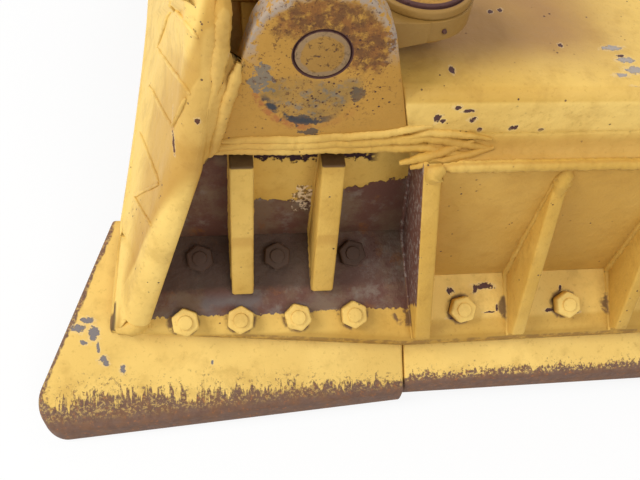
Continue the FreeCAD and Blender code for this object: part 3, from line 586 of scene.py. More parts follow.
def paintEar():
    # The ears: rust above the pin, and a burnt ring below it on the one in the photograph
    finish = Finish("paint_ear")
    step, grain, blend, patches = finish.step, finish.grain, finish.blend, finish.patches
    across, rise = cornerPin["middle"][0] - finish.side, finish.z - cornerPin["middle"][1]
    face = cornerPin["back"] + ear["face"]
    front = step(finish.y, face + 0.002, face)
    colour = blend(0.85, yellow(finish, 0.05, seed=7), tones["ear"])
    ragged = grain(0.018, 5, 0.65, seed=51)
    around = away(across, rise)

    # Rust over the head and down the inboard side of the pin
    arch = step(rise + across * 0.55 + (ragged - 0.5) * 0.09, -0.004, 0.018)
    arch = arch * step(around + (ragged - 0.5) * 0.03, 0.068, 0.058)
    patch = finish.blot(across, rise, (0.047, 0.006), (0.024, 0.022), 0.5, 0.014, 56)
    rusty = arch.most(patch) * patches(0.34, 0.52, 0.010, 5, 0.7, seed=52)
    rust = blend(patches(0.44, 0.60, 0.014, 5, 0.7, seed=53), tones["rustDark"],
                        tones["rust"])
    colour = blend(rusty * 0.85, colour, rust)
    rim = step(around + (ragged - 0.5) * 0.02, 0.061, 0.068) * step(rise, -0.02, 0.02)
    colour = blend(rim * patches(0.40, 0.52, 0.006, 4, 0.6, seed=54) * 0.8, colour,
                          tones["crust"])

    # The burnt ring
    ring = away(across, rise, *ear["ring"]) + (ragged - 0.5) * 0.22
    burnt = front * nearEnd(finish)
    under = step(rise, -0.022, -0.040)
    broken = patches(0.36, 0.56, 0.010, 4, 0.65, seed=50)
    halo = step(abs(ring - 1.12), 0.11, 0.03) * step(rise + across * 0.2, -0.052, -0.066)
    halo = halo * (step(across, 0.004, -0.016) * 0.6 + 0.25) * broken
    colour = blend(burnt * halo * 0.75, colour, tones["scorch"])
    mist = patches(0.36, 0.60, 0.02, 5, 0.65, seed=60) * 0.5 + 0.4
    colour = blend(burnt * under * step(ring, 1.04, 0.84) * mist, colour, tones["olive"])
    grey = patches(0.50, 0.62, 0.014, 5, 0.7, seed=65) * step(ring, 1.0, 0.8)
    colour = blend(burnt * under * grey * 0.6, colour, tones["smoke"])
    line = step(abs(ring - 0.98), 0.10, 0.035) * step(rise, -0.044, -0.060)
    line = line * patches(0.36, 0.50, 0.012, 4, 0.6, seed=55)
    colour = blend(burnt * line * step(across, 0.030, 0.0), colour, tones["soot"])
    for tone, share, middle, size in ear["stains"]:
        spot = finish.blot(across, rise, middle, size, 0.9, 0.007, 57)
        colour = blend(burnt * spot * share, colour, tones[tone])
    colour, dots = specks(finish, colour, 9, 0.17, 0.0065)
    grime = patches(0.58, 0.64, 0.0035, 3, 0.65, seed=59) * step(around, 0.13, 0.05)
    colour = blend(grime * 0.75, colour, tones["rustDark"])
    colour = blend(step(around, ear["groove"] + 0.0006, ear["groove"]), colour, tones["chip"])
    height = paintHeight(finish, 7) - dots * 0.5 - rusty * grain(0.004, 4, seed=58) * 0.4
    return finish.close(colour, 0.58 + 0.25 * ragged, height, 0.0022, 0.25)


def pinSteel():
    # The pins' ends: paint with scars, and a dark rim; each end is read from its own pin's middle
    finish = Finish("pin_steel")
    step, blend, side = finish.step, finish.blend, finish.side
    colour = blend(0.8, yellow(finish, 0.1, seed=8), tones["pin"])
    around = away(side, finish.z, cornerPin["middle"])
    scar = finish.patches(0.56, 0.64, 0.0045, 5, 0.7, seed=61, twist=0.5)
    colour = blend(scar * step(around, 0.022, 0.014) * 0.9, colour, tones["chip"])
    grey = step(around + finish.grain(0.01, 3, seed=66) * 0.006, 0.0235, 0.0255)
    grey = grey * step(around, 0.034, 0.032)
    colour = blend(grey * 0.5, colour, tones["steelGrey"])
    colour, dots = specks(finish, colour, 12, 0.17, 0.006)
    colour = blend(step(around, 0.0266, 0.0272) * step(around, 0.034, 0.032), colour,
                          tones["chip"])
    upright, radius = away(side, finish.up, knucklePin["middle"]), knucklePin["radius"]
    head = finish.zone("pinHead")
    colour = blend(head * 0.35, colour, tones["ear"])
    rim = step(upright, radius - 0.004, radius - 0.0028)
    colour = blend(rim * head, colour, tones["chip"])
    colour = blend(scar * step(upright, 0.030, 0.012) * head * 0.9, colour, tones["chip"])
    return finish.close(colour, 0.6, paintHeight(finish, 8) - (scar + dots) * 0.3, 0.0016, 0.25)


materials = {
    "paint_yellow": paintYellow(), "paint_base": paintBase(), "paint_ear": paintEar(),
    "paint_edge": paintEdge(), "bare_steel": bareSteel(), "pin_steel": pinSteel(),
}
print("materials made:", len(materials))

# Plates get rolled or flame-cut edges: a welded and bevelled copy stands for each CAD node
edges = {"plate": 0.003, "cheek": 0.003, "edge": 0.0025, "pin": 0.0022, "knuckle": 0.005, "lug": 0.004,
         "bit": 0.004, "segments": 3, "sharp": 28, "flat": 0.5}
broadEdges = {"cheekOuter": {"width": 0.025, "segments": 8}, "cheekInner": {"width": 0.009, "segments": 4},
              "base": {"width": 0.019, "segments": 6}}
# The first word that a node's name holds gives its kind of edge
edgeWords = (("cheek", "cheek"), ("pin", "pin"), ("collar", "pin"), ("knuckle", "knuckle"), ("bit", "bit"),
             ("cutting", "edge"), ("edge_ribs", "edge"), ("lugs", "lug"))
slotOf = {entry["node"]: entry["material_slot"] for entry in frame["record"]["subparts"]}
bodyOf = {}
for body, names in frame["record"]["behaviour"]["bodies"].items():
    for name in names:
        bodyOf[name] = body


def surfaces(*names):
    # One search tree over some nodes or pieces, for points on their surfaces
    points, faces = [], []
    for name in names:
        mesh, first = (nodes.get(name) or bpy.data.objects[name]).data, len(points)
        points += [vertex.co.copy() for vertex in mesh.vertices]
        faces += [[first + index for index in face.vertices] for face in mesh.polygons]
    return BVHTree.FromPolygons(points, faces)


def meshFrom(work, name, smooth=True):
    mesh = bpy.data.meshes.new(name)
    work.to_mesh(mesh)
    work.free()
    if smooth:
        mesh.shade_smooth()
    return mesh


def addPiece(name, mesh, material, body):
    mesh.materials.clear()
    mesh.materials.append(material)
    piece = linked(name, mesh)
    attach(piece, body)
    return piece


def cheekRidge(inOut):
    # Finds the edges between a cheek's outer or inner side and its back or top
    def test(first, second):
        side, back = sorted((first.normal, second.normal), key=lambda normal: -abs(normal.x))
        outward = side.x * first.calc_center_median().x > 0
        return (outward == (inOut > 0) and abs(side.x) > 0.85 and abs(back.x) < 0.3
                and (back.y < -0.3 or back.z > 0.5))
    return test


def plateFoot(first, second):
    # Between the base plate's back and its lower end
    lean = Vector((0, -math.sin(edgeLean), math.cos(edgeLean)))
    along = Vector((0, math.cos(edgeLean), math.sin(edgeLean)))
    back, end = sorted((first.normal, second.normal), key=lambda normal: -normal.dot(lean))
    return back.dot(lean) > 0.9 and end.dot(along) < -0.7


def bevelled(work, chosen, width, segments, clamp):
    bmesh.ops.bevel(work, geom=chosen, offset=width, segments=segments, profile=0.5, affect="EDGES",
                    clamp_overlap=clamp)


def dressed(name, width, broad=()):
    work = bmesh.new()
    work.from_mesh(nodes[name].data)
    bmesh.ops.remove_doubles(work, verts=work.verts, dist=1e-5)
    bmesh.ops.dissolve_limit(work, angle_limit=math.radians(edges["flat"]), verts=work.verts,
                             edges=work.edges)
    for kind, test in broad:
        work.normal_update()
        chosen = [edge for edge in work.edges if len(edge.link_faces) == 2 and test(*edge.link_faces)]
        bevelled(work, chosen, broadEdges[kind]["width"], broadEdges[kind]["segments"], False)
    sharp = [edge for edge in work.edges if len(edge.link_faces) == 2
             and edge.calc_face_angle(0) > math.radians(edges["sharp"])]
    bevelled(work, sharp, width, edges["segments"], True)
    bmesh.ops.triangulate(work, faces=[face for face in work.faces if len(face.verts) > 4])
    mesh = meshFrom(work, name + "_dressed")
    piece = addPiece(name + "_dressed", mesh, materials[slotOf[name]], bodyOf[name])
    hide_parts(name)


for name in nodes:
    kind = next((kind for word, kind in edgeWords if word in name), "plate")
    if kind == "cheek":
        dressed(name, edges[kind], [("cheekOuter", cheekRidge(1)), ("cheekInner", cheekRidge(-1))])
    elif name == "base_edge":
        dressed(name, edges[kind], [("base", plateFoot)])
    else:
        dressed(name, edges[kind])
print("plates dressed")

# The moldboard's back, as in the part: an arc, then straight to the top edge
curve = {"height": 1.188, "drop": 0.023, "topLean": math.radians(40), "start": 0.268, "plate": 0.016,
         "railSetback": 0.040, "railWidth": 0.084}


def moldCurve():
    lean, top, rise = edgeLean, curve["topLean"], curve["height"] - curve["drop"]
    footY, footZ = curve["start"] * math.cos(lean), curve["start"] * math.sin(lean)
    floor = curve["drop"] * math.tan(lean) + edgePlate["thickness"] / math.cos(lean)
    radius = ((math.tan(top) * (rise - footY) - floor - footZ)
              / (math.cos(top) - math.cos(lean) + math.tan(top) * (math.sin(lean) + math.sin(top))))
    return footY + radius * math.sin(lean), footZ - radius * math.cos(lean), radius + curve["plate"]


curveY, curveZ, backRadius = moldCurve()


def onTop(x, along, out):
    top = curve["topLean"]
    reach = backRadius + out
    return tip(x, curveY + reach * math.sin(top) + along * math.cos(top),
               curveZ + reach * math.cos(top) - along * math.sin(top))


railFoot = ((curve["height"] - curve["drop"] - curveY - backRadius * math.sin(curve["topLean"]))
            / math.cos(curve["topLean"]) - curve["railSetback"] - curve["railWidth"])

# The corner pieces' sides, as in the part
corner = {"halfWidth": 1.604, "cheekInset": 0.136, "cheekPlate": 0.036, "knee": 0.400, "kneeReach": 0.060,
          "lean": math.radians(18), "leanHigh": math.radians(4), "pinInset": 0.238, "pinHeight": 0.486,
          "earRadius": 0.073, "earLean": math.radians(15), "earFace": 0.141, "floorFace": 0.118,
          "wallFace": 0.1713, "boxTop": 0.434, "earHead": 0.323, "backFoot": (0.0686, 0.1042),
          "backSlope": 0.2035}


def cheekX(height, out=0):
    low, high = corner["knee"] - corner["kneeReach"], corner["knee"] + corner["kneeReach"]
    if low < height < high:
        share = (height - low) / (high - low)
        return cheekX(low, out) * (1 - share) + cheekX(high, out) * share
    lean = corner["lean"] if height <= low else corner["leanHigh"]
    return (corner["halfWidth"] - corner["cheekInset"] + out / math.cos(lean)
            - (height - corner["knee"]) * math.tan(lean))


def cheekBack(height):
    # How far up the blade the cheek's back lies at this height
    footUp, footHeight = corner["backFoot"]
    return min(footUp + (height - footHeight) * corner["backSlope"], corner["earFace"])


def earX(height):
    lean = corner["earLean"]
    return (corner["halfWidth"] - corner["pinInset"] + corner["earRadius"] / math.cos(lean)
            + (corner["pinHeight"] - height) * math.tan(lean))


backTree = surfaces("moldboard", "base_edge")


def dropped(x, y, lift=0.0):
    # A point on the moldboard's back, given its place along and up the blade from the tip line
    spot = backTree.ray_cast(Vector((x, tipY + y, 2)), Vector((0, 0, -1)))[0]
    return spot + Vector((0, 0, lift))


def seen(right, down, tree):
    # The point of a surface that the photograph shows at this place of its frame
    right, up = right - eye["imageWidth"] / 2, eye["imageHeight"] / 2 - down
    ray = eyeAhead + eyeRight * (right / eye["focal"]) + eyeUp * (up / eye["focal"])
    return tree.ray_cast(Vector(eye["place"]), ray.normalized())


class Paths:
    # Centre lines of beads: edges with a width at each vertex
    def __init__(self):
        self.points, self.pairs, self.wide = [], [], []

    def add(self, points, radius, mirrored=True, taper=0.45):
        for side in ((-1, 1) if mirrored else (1,)):
            first = len(self.points)
            self.points += [Vector((side * point.x, point.y, point.z)) for point in points]
            self.pairs += [(first + index, first + index + 1) for index in range(len(points) - 1)]
            self.wide += [radius * (taper if index in (0, len(points) - 1) else 1)
                          for index in range(len(points))]

    def holder(self, name):
        mesh = bpy.data.meshes.new(name)
        mesh.from_pydata(self.points, self.pairs, [])
        wide = mesh.attributes.new("wide", "FLOAT", "POINT")
        wide.data.foreach_set("value", self.wide)
        return linked(name, mesh)


def groupTree(name, inputs):
    # An empty Geometry Nodes group with named inputs; gives its bench and its inputs as wires
    tree = bpy.data.node_groups.new(name, "GeometryNodeTree")
    for label, kind in inputs:
        tree.interface.new_socket(label, in_out="INPUT", socket_type="NodeSocket" + kind)
    tree.interface.new_socket("Made", in_out="OUTPUT", socket_type="NodeSocketGeometry")
    given = tree.nodes.new("NodeGroupInput")
    return Bench(tree), {label: Wire(tree, given.outputs[label]) for label, kind in inputs}


def closeGroup(bench, made, material):
    made = bench.put("GeometryNodeRealizeInstances", {}, {0: made})
    made = bench.put("GeometryNodeSetMaterial", {}, {"Geometry": made, "Material": material})
    bench.end("NodeGroupOutput", made)
    return bench.tree


def beadGroup():
    # Sweeps ropey weld beads along paths, with ripples across them
    bench, take = groupTree("weld_beads", [
        ("Paths", "Geometry"), ("Step", "Float"), ("Wander", "Float"), ("Ripple", "Float"),
        ("Pitch", "Float"), ("Lump", "Float"), ("Sides", "Int"), ("Seed", "Float"), ("Material", "Material")])
    spot = bench.put("GeometryNodeInputPosition")

    def cloud(length, out):
        return bench.put("ShaderNodeTexNoise", {"noise_dimensions": "4D"},
                         {"Vector": spot, "W": take["Seed"], "Scale": 1 / length, "Detail": 2}, out)

    path = bench.put("GeometryNodeMeshToCurve", {}, {0: take["Paths"]})
    path = bench.put("GeometryNodeResampleCurve", {"mode": "LENGTH"}, {"Curve": path, "Length": take["Step"]})
    drift = bench.put("ShaderNodeVectorMath", {"operation": "SUBTRACT"},
                      {0: cloud(0.02, "Color"), 1: (0.5, 0.5, 0.5)})
    drift = bench.put("ShaderNodeVectorMath", {"operation": "SCALE"}, {0: drift, "Scale": take["Wander"]})
    path = bench.put("GeometryNodeSetPosition", {}, {"Geometry": path, "Offset": drift})
    length = bench.put("GeometryNodeSplineParameter", out="Length")
    path = bench.put("GeometryNodeStoreNamedAttribute", {"data_type": "FLOAT", "domain": "POINT"},
                     {"Geometry": path, "Name": "along", "Value": length})
    wide = bench.put("GeometryNodeInputNamedAttribute", {"data_type": "FLOAT"}, {"Name": "wide"})
    ring = bench.put("GeometryNodeCurvePrimitiveCircle", {}, {"Resolution": take["Sides"], "Radius": 1.0})
    bead = bench.put("GeometryNodeCurveToMesh", {}, {"Curve": path, "Profile Curve": ring, "Scale": wide,
                                                     "Fill Caps": True})
    along = bench.put("GeometryNodeInputNamedAttribute", {"data_type": "FLOAT"}, {"Name": "along"})
    turns = along * (2 * math.pi) / take["Pitch"]
    wave = turns.maths("SINE", turns)
    swell = (wave * take["Ripple"] + (cloud(0.009, "Fac") - 0.5) * take["Lump"]) * wide
    offset = bench.put("ShaderNodeVectorMath", {"operation": "SCALE"},
                       {0: bench.put("GeometryNodeInputNormal"), "Scale": swell})
    bead = bench.put("GeometryNodeSetPosition", {}, {"Geometry": bead, "Offset": offset})
    bead = bench.put("GeometryNodeSetShadeSmooth", {}, {"Geometry": bead, "Shade Smooth": True})
    return closeGroup(bench, bead, take["Material"])


def nutGroup():
    # Sets a nut on each spot, turned about its bolt and tilted with the plate
    bench, take = groupTree("nuts", [
        ("Spots", "Geometry"), ("Form", "Object"), ("Tilt", "Float"), ("Material", "Material")])
    turn = bench.put("GeometryNodeInputNamedAttribute", {"data_type": "FLOAT"}, {"Name": "turn"})
    spin = bench.put("FunctionNodeAxisAngleToRotation", {}, {"Axis": (0, 0, 1), "Angle": turn})
    tilt = bench.put("FunctionNodeAxisAngleToRotation", {}, {"Axis": (1, 0, 0), "Angle": take["Tilt"]})
    turned = bench.put("FunctionNodeRotateRotation", {"rotation_space": "GLOBAL"},
                       {"Rotation": spin, "Rotate By": tilt})
    form = bench.put("GeometryNodeObjectInfo", {}, {"Object": take["Form"]}, "Geometry")
    made = bench.put("GeometryNodeInstanceOnPoints", {}, {"Points": take["Spots"], "Instance": form,
                                                          "Rotation": turned})
    return closeGroup(bench, made, take["Material"])


def grown(holder, group, values):
    # Runs a group on a holder and keeps the result as a plain mesh
    modifier = holder.modifiers.new("grow", "NODES")
    modifier.node_group = group
    for item in group.interface.items_tree:
        if item.in_out == "INPUT" and item.name in values:
            modifier[item.identifier] = values[item.name]
    graph = bpy.context.evaluated_depsgraph_get()
    mesh = bpy.data.meshes.new_from_object(holder.evaluated_get(graph))
    for label in ("wide", "along", "turn"):
        if label in mesh.attributes:
            mesh.attributes.remove(mesh.attributes[label])
    holder.modifiers.clear()
    bpy.data.objects.remove(holder)
    return mesh


def outwards(mesh):
    work = bmesh.new()
    work.from_mesh(mesh)
    bmesh.ops.recalc_face_normals(work, faces=work.faces)
    work.to_mesh(mesh)
    work.free()


beads = beadGroup()


def weld(name, paths, style, material, body="blade"):
    mesh = grown(paths.holder(name + "_paths"), beads, {**style, "Material": material})
    mesh.name = name
    outwards(mesh)
    print(name, "faces:", len(mesh.polygons))
    return addPiece(name, mesh, material, body)


# Heavy passes at the outer ear, as (along, up, out) from the tip line
earPasses = {
    "low": [(1.483, 0.1385, 0.355), (1.440, 0.1405, 0.357), (1.380, 0.1405, 0.356), (1.320, 0.1405, 0.357),
            (1.270, 0.1405, 0.357), (1.238, 0.139, 0.357), (1.205, 0.133, 0.354), (1.175, 0.127, 0.349)],
    "middle": [(1.479, 0.139, 0.362), (1.440, 0.1410, 0.364), (1.380, 0.1410, 0.3635), (1.330, 0.1410, 0.365),
               (1.280, 0.1410, 0.368), (1.240, 0.1405, 0.371), (1.205, 0.138, 0.366), (1.165, 0.1345, 0.359)],
    "high": [(1.472, 0.141, 0.369), (1.447, 0.1415, 0.371), (1.380, 0.1415, 0.371), (1.335, 0.1415, 0.374),
             (1.290, 0.1415, 0.378), (1.262, 0.1415, 0.384), (1.236, 0.142, 0.388)],
    "box": [(1.268, 0.139, 0.372), (1.238, 0.1405, 0.379), (1.205, 0.140, 0.376), (1.165, 0.138, 0.371)],
    "fanLow": [(1.268, 0.126, 0.345), (1.245, 0.128, 0.350), (1.215, 0.133, 0.358), (1.185, 0.138, 0.368)],
    "fanHigh": [(1.255, 0.122, 0.3425), (1.225, 0.125, 0.347), (1.195, 0.129, 0.353), (1.160, 0.134, 0.360)],
    "side": [(1.479, 0.136, 0.352), (1.474, 0.137, 0.364), (1.466, 0.139, 0.394), (1.457, 0.140, 0.429),
             (1.4505, 0.142, 0.458), (1.446, 0.145, 0.474)],
    "cheekEdge": [(1.470, 0.141, 0.438), (1.4655, 0.145, 0.468), (1.4615, 0.147, 0.500),
                  (1.4595, 0.148, 0.530), (1.458, 0.150, 0.553)],
}
earRadii = {"low": 0.0062, "middle": 0.0062, "high": 0.0052, "box": 0.005, "fanLow": 0.0055,
            "fanHigh": 0.0055, "side": 0.0068, "cheekEdge": 0.0085}

# How a bead is swept: steps along its path, how far it strays, its ripples and lumps, and its sides
fineBead = {"Step": 0.0028, "Wander": 0.0050, "Ripple": 0.06, "Pitch": 0.0075, "Lump": 0.55, "Sides": 10,
            "Seed": 3.0}
smallBead = {"Step": 0.0045, "Wander": 0.0035, "Ripple": 0.08, "Pitch": 0.011, "Lump": 0.6, "Sides": 7,
             "Seed": 8.0}
farBead = {"Step": 0.0065, "Wander": 0.004, "Ripple": 0.08, "Pitch": 0.015, "Lump": 0.6, "Sides": 6,
           "Seed": 5.0}


def earWelds():
    paths = Paths()
    for label, spots in earPasses.items():
        paths.add([tip(*spot) for spot in spots], earRadii[label])
    weld("ear_welds", paths, fineBead, materials["paint_yellow"])


footWelds = {"gussets": (1.338, 1.444), "gussetHalf": 0.014, "dividerHalf": 0.011, "ribHalf": 0.009,
             "pitch": 0.1524, "ribs": 8, "plateBack": 0.030, "gussetFoot": 0.152, "ribFoot": 0.080,
             "floorFoot": 0.165, "wallFoot": 0.230, "cheekFoot": 0.116, "top": 0.326,
             "rollAt": (0.1195, 0.3450), "rollRadius": 0.0078, "rollSteps": 120,
             "caps": (0.341, 0.328, 0.314, 0.298), "capRadius": 0.0115, "lumpRadius": 0.0155}

# Two passes round each cheek's toe: (past the cheek's inner face, up the plate, off it), and their radius
toePasses = (((0.004, 0.121, 0.004), (0.020, 0.115, 0.004), (0.006, 0.110, 0), 0.0125),
             ((0.001, 0.121, 0), (0.014, 0.1135, 0), (-0.004, 0.114, 0), 0.009))


def across(count, reach):
    # Places from one side of the blade to the other
    return [reach * (2 * index / count - 1) for index in range(count + 1)]


def cornerWelds():
    # Fillets at the feet of the gussets, divider, ribs and cheeks, the ribs' caps and the ledge's rolled edge
    paths, foot = Paths(), footWelds
    back, top = foot["plateBack"], foot["top"]
    for middle in foot["gussets"]:
        for side in (-1, 1):
            x = middle + side * foot["gussetHalf"]
            paths.add([onEdge(x, foot["gussetFoot"] - 0.002, back), onEdge(x, foot["wallFoot"], back),
                       tip(x, corner["wallFace"], 0.19), tip(x, corner["wallFace"], top)], 0.0032)
    for half, bend, end, face, kneeHeight, radius in (
            (-foot["dividerHalf"], 0.11, foot["floorFoot"], corner["floorFace"], 0.13, 0.0045),
            (foot["dividerHalf"], 0.16, foot["wallFoot"], corner["wallFace"], 0.19, 0.0040)):
        paths.add([onEdge(dividerX(0.08, half), foot["ribFoot"], back),
                   onEdge(dividerX(bend, half), end, back),
                   tip(dividerX(kneeHeight, half), face, kneeHeight),
                   tip(dividerX(0.34, half), face, 0.34)], radius)
    for number in range(foot["ribs"]):
        for side in (-1, 1):
            x = number * foot["pitch"] + side * foot["ribHalf"]
            paths.add([onEdge(x, foot["ribFoot"] - 0.002, back), onEdge(x, foot["floorFoot"], back),
                       tip(x, corner["floorFace"], 0.13), tip(x, corner["floorFace"], top)], 0.0055,
                      number > 0)
        x = number * foot["pitch"]
        paths.add([tip(x, cheekBack(height) + 0.006, height) for height in foot["caps"]], foot["capRadius"],
                  number > 0, 0.6)
    paths.add([onEdge(cheekX(0.095), foot["cheekFoot"] - 0.004, back),
               onEdge(cheekX(0.16), foot["wallFoot"], back), tip(cheekX(0.19), corner["wallFace"], 0.19),
               tip(cheekX(0.34), corner["wallFace"], 0.34)], 0.005)
    toeX, outerX = cheekX(0.100), cheekX(0.100, corner["cheekPlate"])
    for (a, s, t), (b, nextS, nextT), (c, lastS, lastT), radius in toePasses:
        paths.add([onEdge(toeX + a, s, back + t), onEdge(toeX + b, nextS, back + nextT),
                   onEdge(outerX + c, lastS, back + lastT)], radius)
    paths.add([tip(x, *foot["rollAt"]) for x in across(foot["rollSteps"], dividerX(0.34) - 0.008)],
              foot["rollRadius"], False)
    paths.add([tip(dividerX(0.330), 0.1165, 0.326), tip(dividerX(0.340) - 0.002, 0.1175, 0.3395),
               tip(dividerX(0.345) - 0.012, 0.1190, 0.345)], foot["lumpRadius"])
    weld("corner_welds", paths, smallBead, materials["paint_base"])


backStyle = {"lift": {"x": 0.330, "half": 0.033, "plate": 0.028, "y": 0.285, "reach": 0.088},
             "brace": {"x": 0.860, "half": 0.029, "plate": 0.028, "setback": 0.055, "reach": 0.052},
             "ribs": (0.215, 0.620, 1.100), "ribHalf": 0.008, "ribStep": 0.04, "ribRadius": 0.0045,
             "railHalf": 1.46, "earHalf": 0.085, "longSteps": 60, "radius": 0.006, "lugRadius": 0.005,
             "cheekStart": 0.22, "cheekStep": 0.032, "cheekPoints": 24}


def backWelds():
    # Beads on the box's top and the moldboard's back
    paths, style, radius = Paths(), backStyle, backStyle["radius"]
    pinX, railUp = corner["halfWidth"] - corner["pinInset"], onTop(0, railFoot, 0).y - tipY
    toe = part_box("box_beam")[1][1] - tipY
    paths.add([dropped(x, toe + 0.003) for x in across(style["longSteps"], pinX + corner["earRadius"])],
              radius, False)
    for along in (railFoot, railFoot + curve["railWidth"]):
        paths.add([onTop(x, along, 0) for x in across(style["longSteps"], style["railHalf"])], radius, False)
    for middle in style["ribs"]:
        for side in (-1, 1):
            x, y, spots = middle + side * style["ribHalf"], toe + 0.01, []
            end = onTop(x, railFoot - 0.002, 0).y - tipY
            while y < end:
                spots.append(dropped(x, y))
                y += style["ribStep"]
            paths.add(spots, style["ribRadius"])
    lift, brace = style["lift"], style["brace"]
    for inOut in (-1, 1):
        for face in (0, 1):
            x = lift["x"] + inOut * (lift["half"] + face * lift["plate"])
            paths.add([tip(x, lift["y"] + share * lift["reach"], corner["boxTop"]) for share in (-1, 0, 1)],
                      radius)
            x = brace["x"] + inOut * (brace["half"] + face * brace["plate"])
            paths.add([onTop(x, railFoot - brace["setback"] + share * brace["reach"], 0)
                       for share in (-1, 0, 1)], style["lugRadius"])
        x = lift["x"] + inOut * (lift["half"] + lift["plate"] / 2)
        for end in (-1, 1):
            y = lift["y"] + end * lift["reach"]
            paths.add([tip(x + share * lift["plate"] / 2, y, corner["boxTop"]) for share in (-1, 0, 1)],
                      radius)
    paths.add([tip(pinX + share * style["earHalf"], corner["earHead"], corner["boxTop"])
               for share in (-1, 0, 1)], radius)
    for out in (-0.001, corner["cheekPlate"] + 0.001):
        spots = []
        for number in range(style["cheekPoints"]):
            y = (toe + 0.02 if out < 0 else style["cheekStart"]) + number * style["cheekStep"]
            if y > railUp - 0.01:
                break
            spot = dropped(cheekX(0.3, out), y)
            spots.append(dropped(cheekX(spot.z - tipZ, out), y))
        paths.add(spots, radius)
    weld("back_welds", paths, farBead, materials["paint_yellow"])


# Fillets: skins through rings of points
filletStyle = {"steps": 6, "noises": ((0.012, 0.0009),), "fade": 1}


def curvedRing(first, bend, last, base, style=filletStyle):
    # A bent line of points, pushed in and out a little by noise, and closed by its base
    ring = []
    for number in range(style["steps"] + 1):
        share = number / style["steps"]
        spot = first.lerp(bend, share).lerp(bend.lerp(last, share), share)
        push = sum(noise.noise(spot / length) * deep for length, deep in style["noises"])
        push *= math.sin(math.pi * share) ** style["fade"]
        ring.append(spot + (spot - base).normalized() * push)
    return ring + [base]


def skin(name, strips, material):
    work = bmesh.new()
    for rings in strips:
        made = [[work.verts.new(point) for point in ring] for ring in rings]
        count = len(rings[0])
        for first, second in zip(made, made[1:]):
            for index in range(count):
                after = (index + 1) % count
                work.faces.new((first[index], first[after], second[after], second[index]))
        work.faces.new(made[0])
        work.faces.new(made[-1][::-1])
    bmesh.ops.recalc_face_normals(work, faces=work.faces)
    mesh = meshFrom(work, name)
    print(name, "faces:", len(mesh.polygons))
    return addPiece(name, mesh, material, "blade")


ledge = {"half": 1.236, "steps": 200, "waves": 14, "depth": 0.003}


def ledgeFillet():
    # The heavy fillet between the box's ledge and its rear face
    rings = []
    for x in across(ledge["steps"], ledge["half"]):
        wave = noise.noise(Vector((x * ledge["waves"], 3.1, 0))) * ledge["depth"]
        rings.append(curvedRing(tip(x, 0.1205, 0.3505), tip(x, 0.1375, 0.3545 + wave),
                                tip(x, 0.1412, 0.379 + wave), tip(x, 0.143, 0.348)))
    skin("ledge_fillet", [rings], materials["paint_yellow"])


# The outer slope from each cheek down to the blade's end; its feet are given as
# (height of the ridge, place of the foot up the blade)
skirt = {"feet": ((0.106, 0.074), (0.20, 0.19), (0.30, 0.32), (0.46, 0.46), (0.55, 0.50)), "rise": 44,
         "run": 40, "runStart": 0.165, "steps": 12, "inset": 0.0150, "edgeInset": 0.003, "sag": 0.03,
         "sunk": 0.014, "noises": ((0.095, 0.0022), (0.028, 0.0012)), "fade": 0.5, "endAtFoot": 1.620,
         "footUp": 0.0697, "headUp": 0.1753, "rays": 40, "footRays": 12}
skirtRings = []


def skirtRidge():
    # Each ridge point with the place of its foot, from the cheek's lower end to the rail
    feet, railUp = skirt["feet"], onTop(0, railFoot, 0).y - tipY - 0.003
    spots = []
    for number in range(skirt["rise"]):
        height = feet[0][0] + (feet[-1][0] - feet[0][0]) * number / (skirt["rise"] - 1)
        for (lowZ, lowY), (highZ, highY) in zip(feet, feet[1:]):
            if lowZ <= height <= highZ:
                foot = lowY + (highY - lowY) * (height - lowZ) / (highZ - lowZ)
        spots.append((cheekBack(height), height, foot))
    cheekTree = surfaces("end_cheek_right")
    start, footStart = skirt["runStart"], feet[-1][1]
    for number in range(skirt["run"]):
        share = number / (skirt["run"] - 1)
        up, foot = start + (railUp - start) * share, footStart + (railUp - footStart) * share
        hits = [cheekTree.ray_cast(tip(cheekX(0.34 + 0.01 * place, 0.018), up, 1), Vector((0, 0, -1)))[0]
                for place in range(skirt["rays"])]
        tops = [hit.z - tipZ for hit in hits if hit]
        if tops:
            spots.append((up, max(tops), foot))
    return spots


def endSkirts():
    # Smooth outer slopes, as thick as their welds and coats made them
    cheekTree, below = surfaces("end_cheek_right_dressed"), Vector((0, 0, -1))
    for up, height, foot in skirtRidge():
        share = min(1, max(0, (foot - skirt["footUp"]) / (skirt["headUp"] - skirt["footUp"])))
        end = skirt["endAtFoot"] + (corner["halfWidth"] - skirt["endAtFoot"]) * share - skirt["edgeInset"]
        hits = [backTree.ray_cast(tip(end - step * 0.003, foot, 2), below)[0]
                for step in range(skirt["footRays"])]
        hits = [hit for hit in hits if hit]
        if not hits:
            continue
        first = hits[0] - Vector((0, 0, 0.0008))
        ridge = tip(0, up, height)
        fall = Vector((0, first.y - ridge.y, first.z - ridge.z))
        last = ridge + fall.normalized() * min(skirt["inset"], fall.length / 2)
        last.x = cheekX(last.z - tipZ, corner["cheekPlate"]) - 0.0006
        hit = cheekTree.ray_cast(last + Vector((0.05, 0, 0)), Vector((-1, 0, 0)))[0]
        if hit and last.x - hit.x < 0.03:
            last.x = hit.x - 0.0008
        foot = cheekX(first.z - tipZ, corner["cheekPlate"]) - skirt["sunk"]
        base = Vector((foot, first.y, first.z - 0.004))
        bend = ((first + last) / 2).lerp(base, skirt["sag"])
        skirtRings.append(curvedRing(first, bend, last, base, skirt))
    mirrored = [[Vector((-spot.x, spot.y, spot.z)) for spot in ring] for ring in skirtRings]
    skin("end_skirts", [skirtRings, mirrored], materials["paint_yellow"])


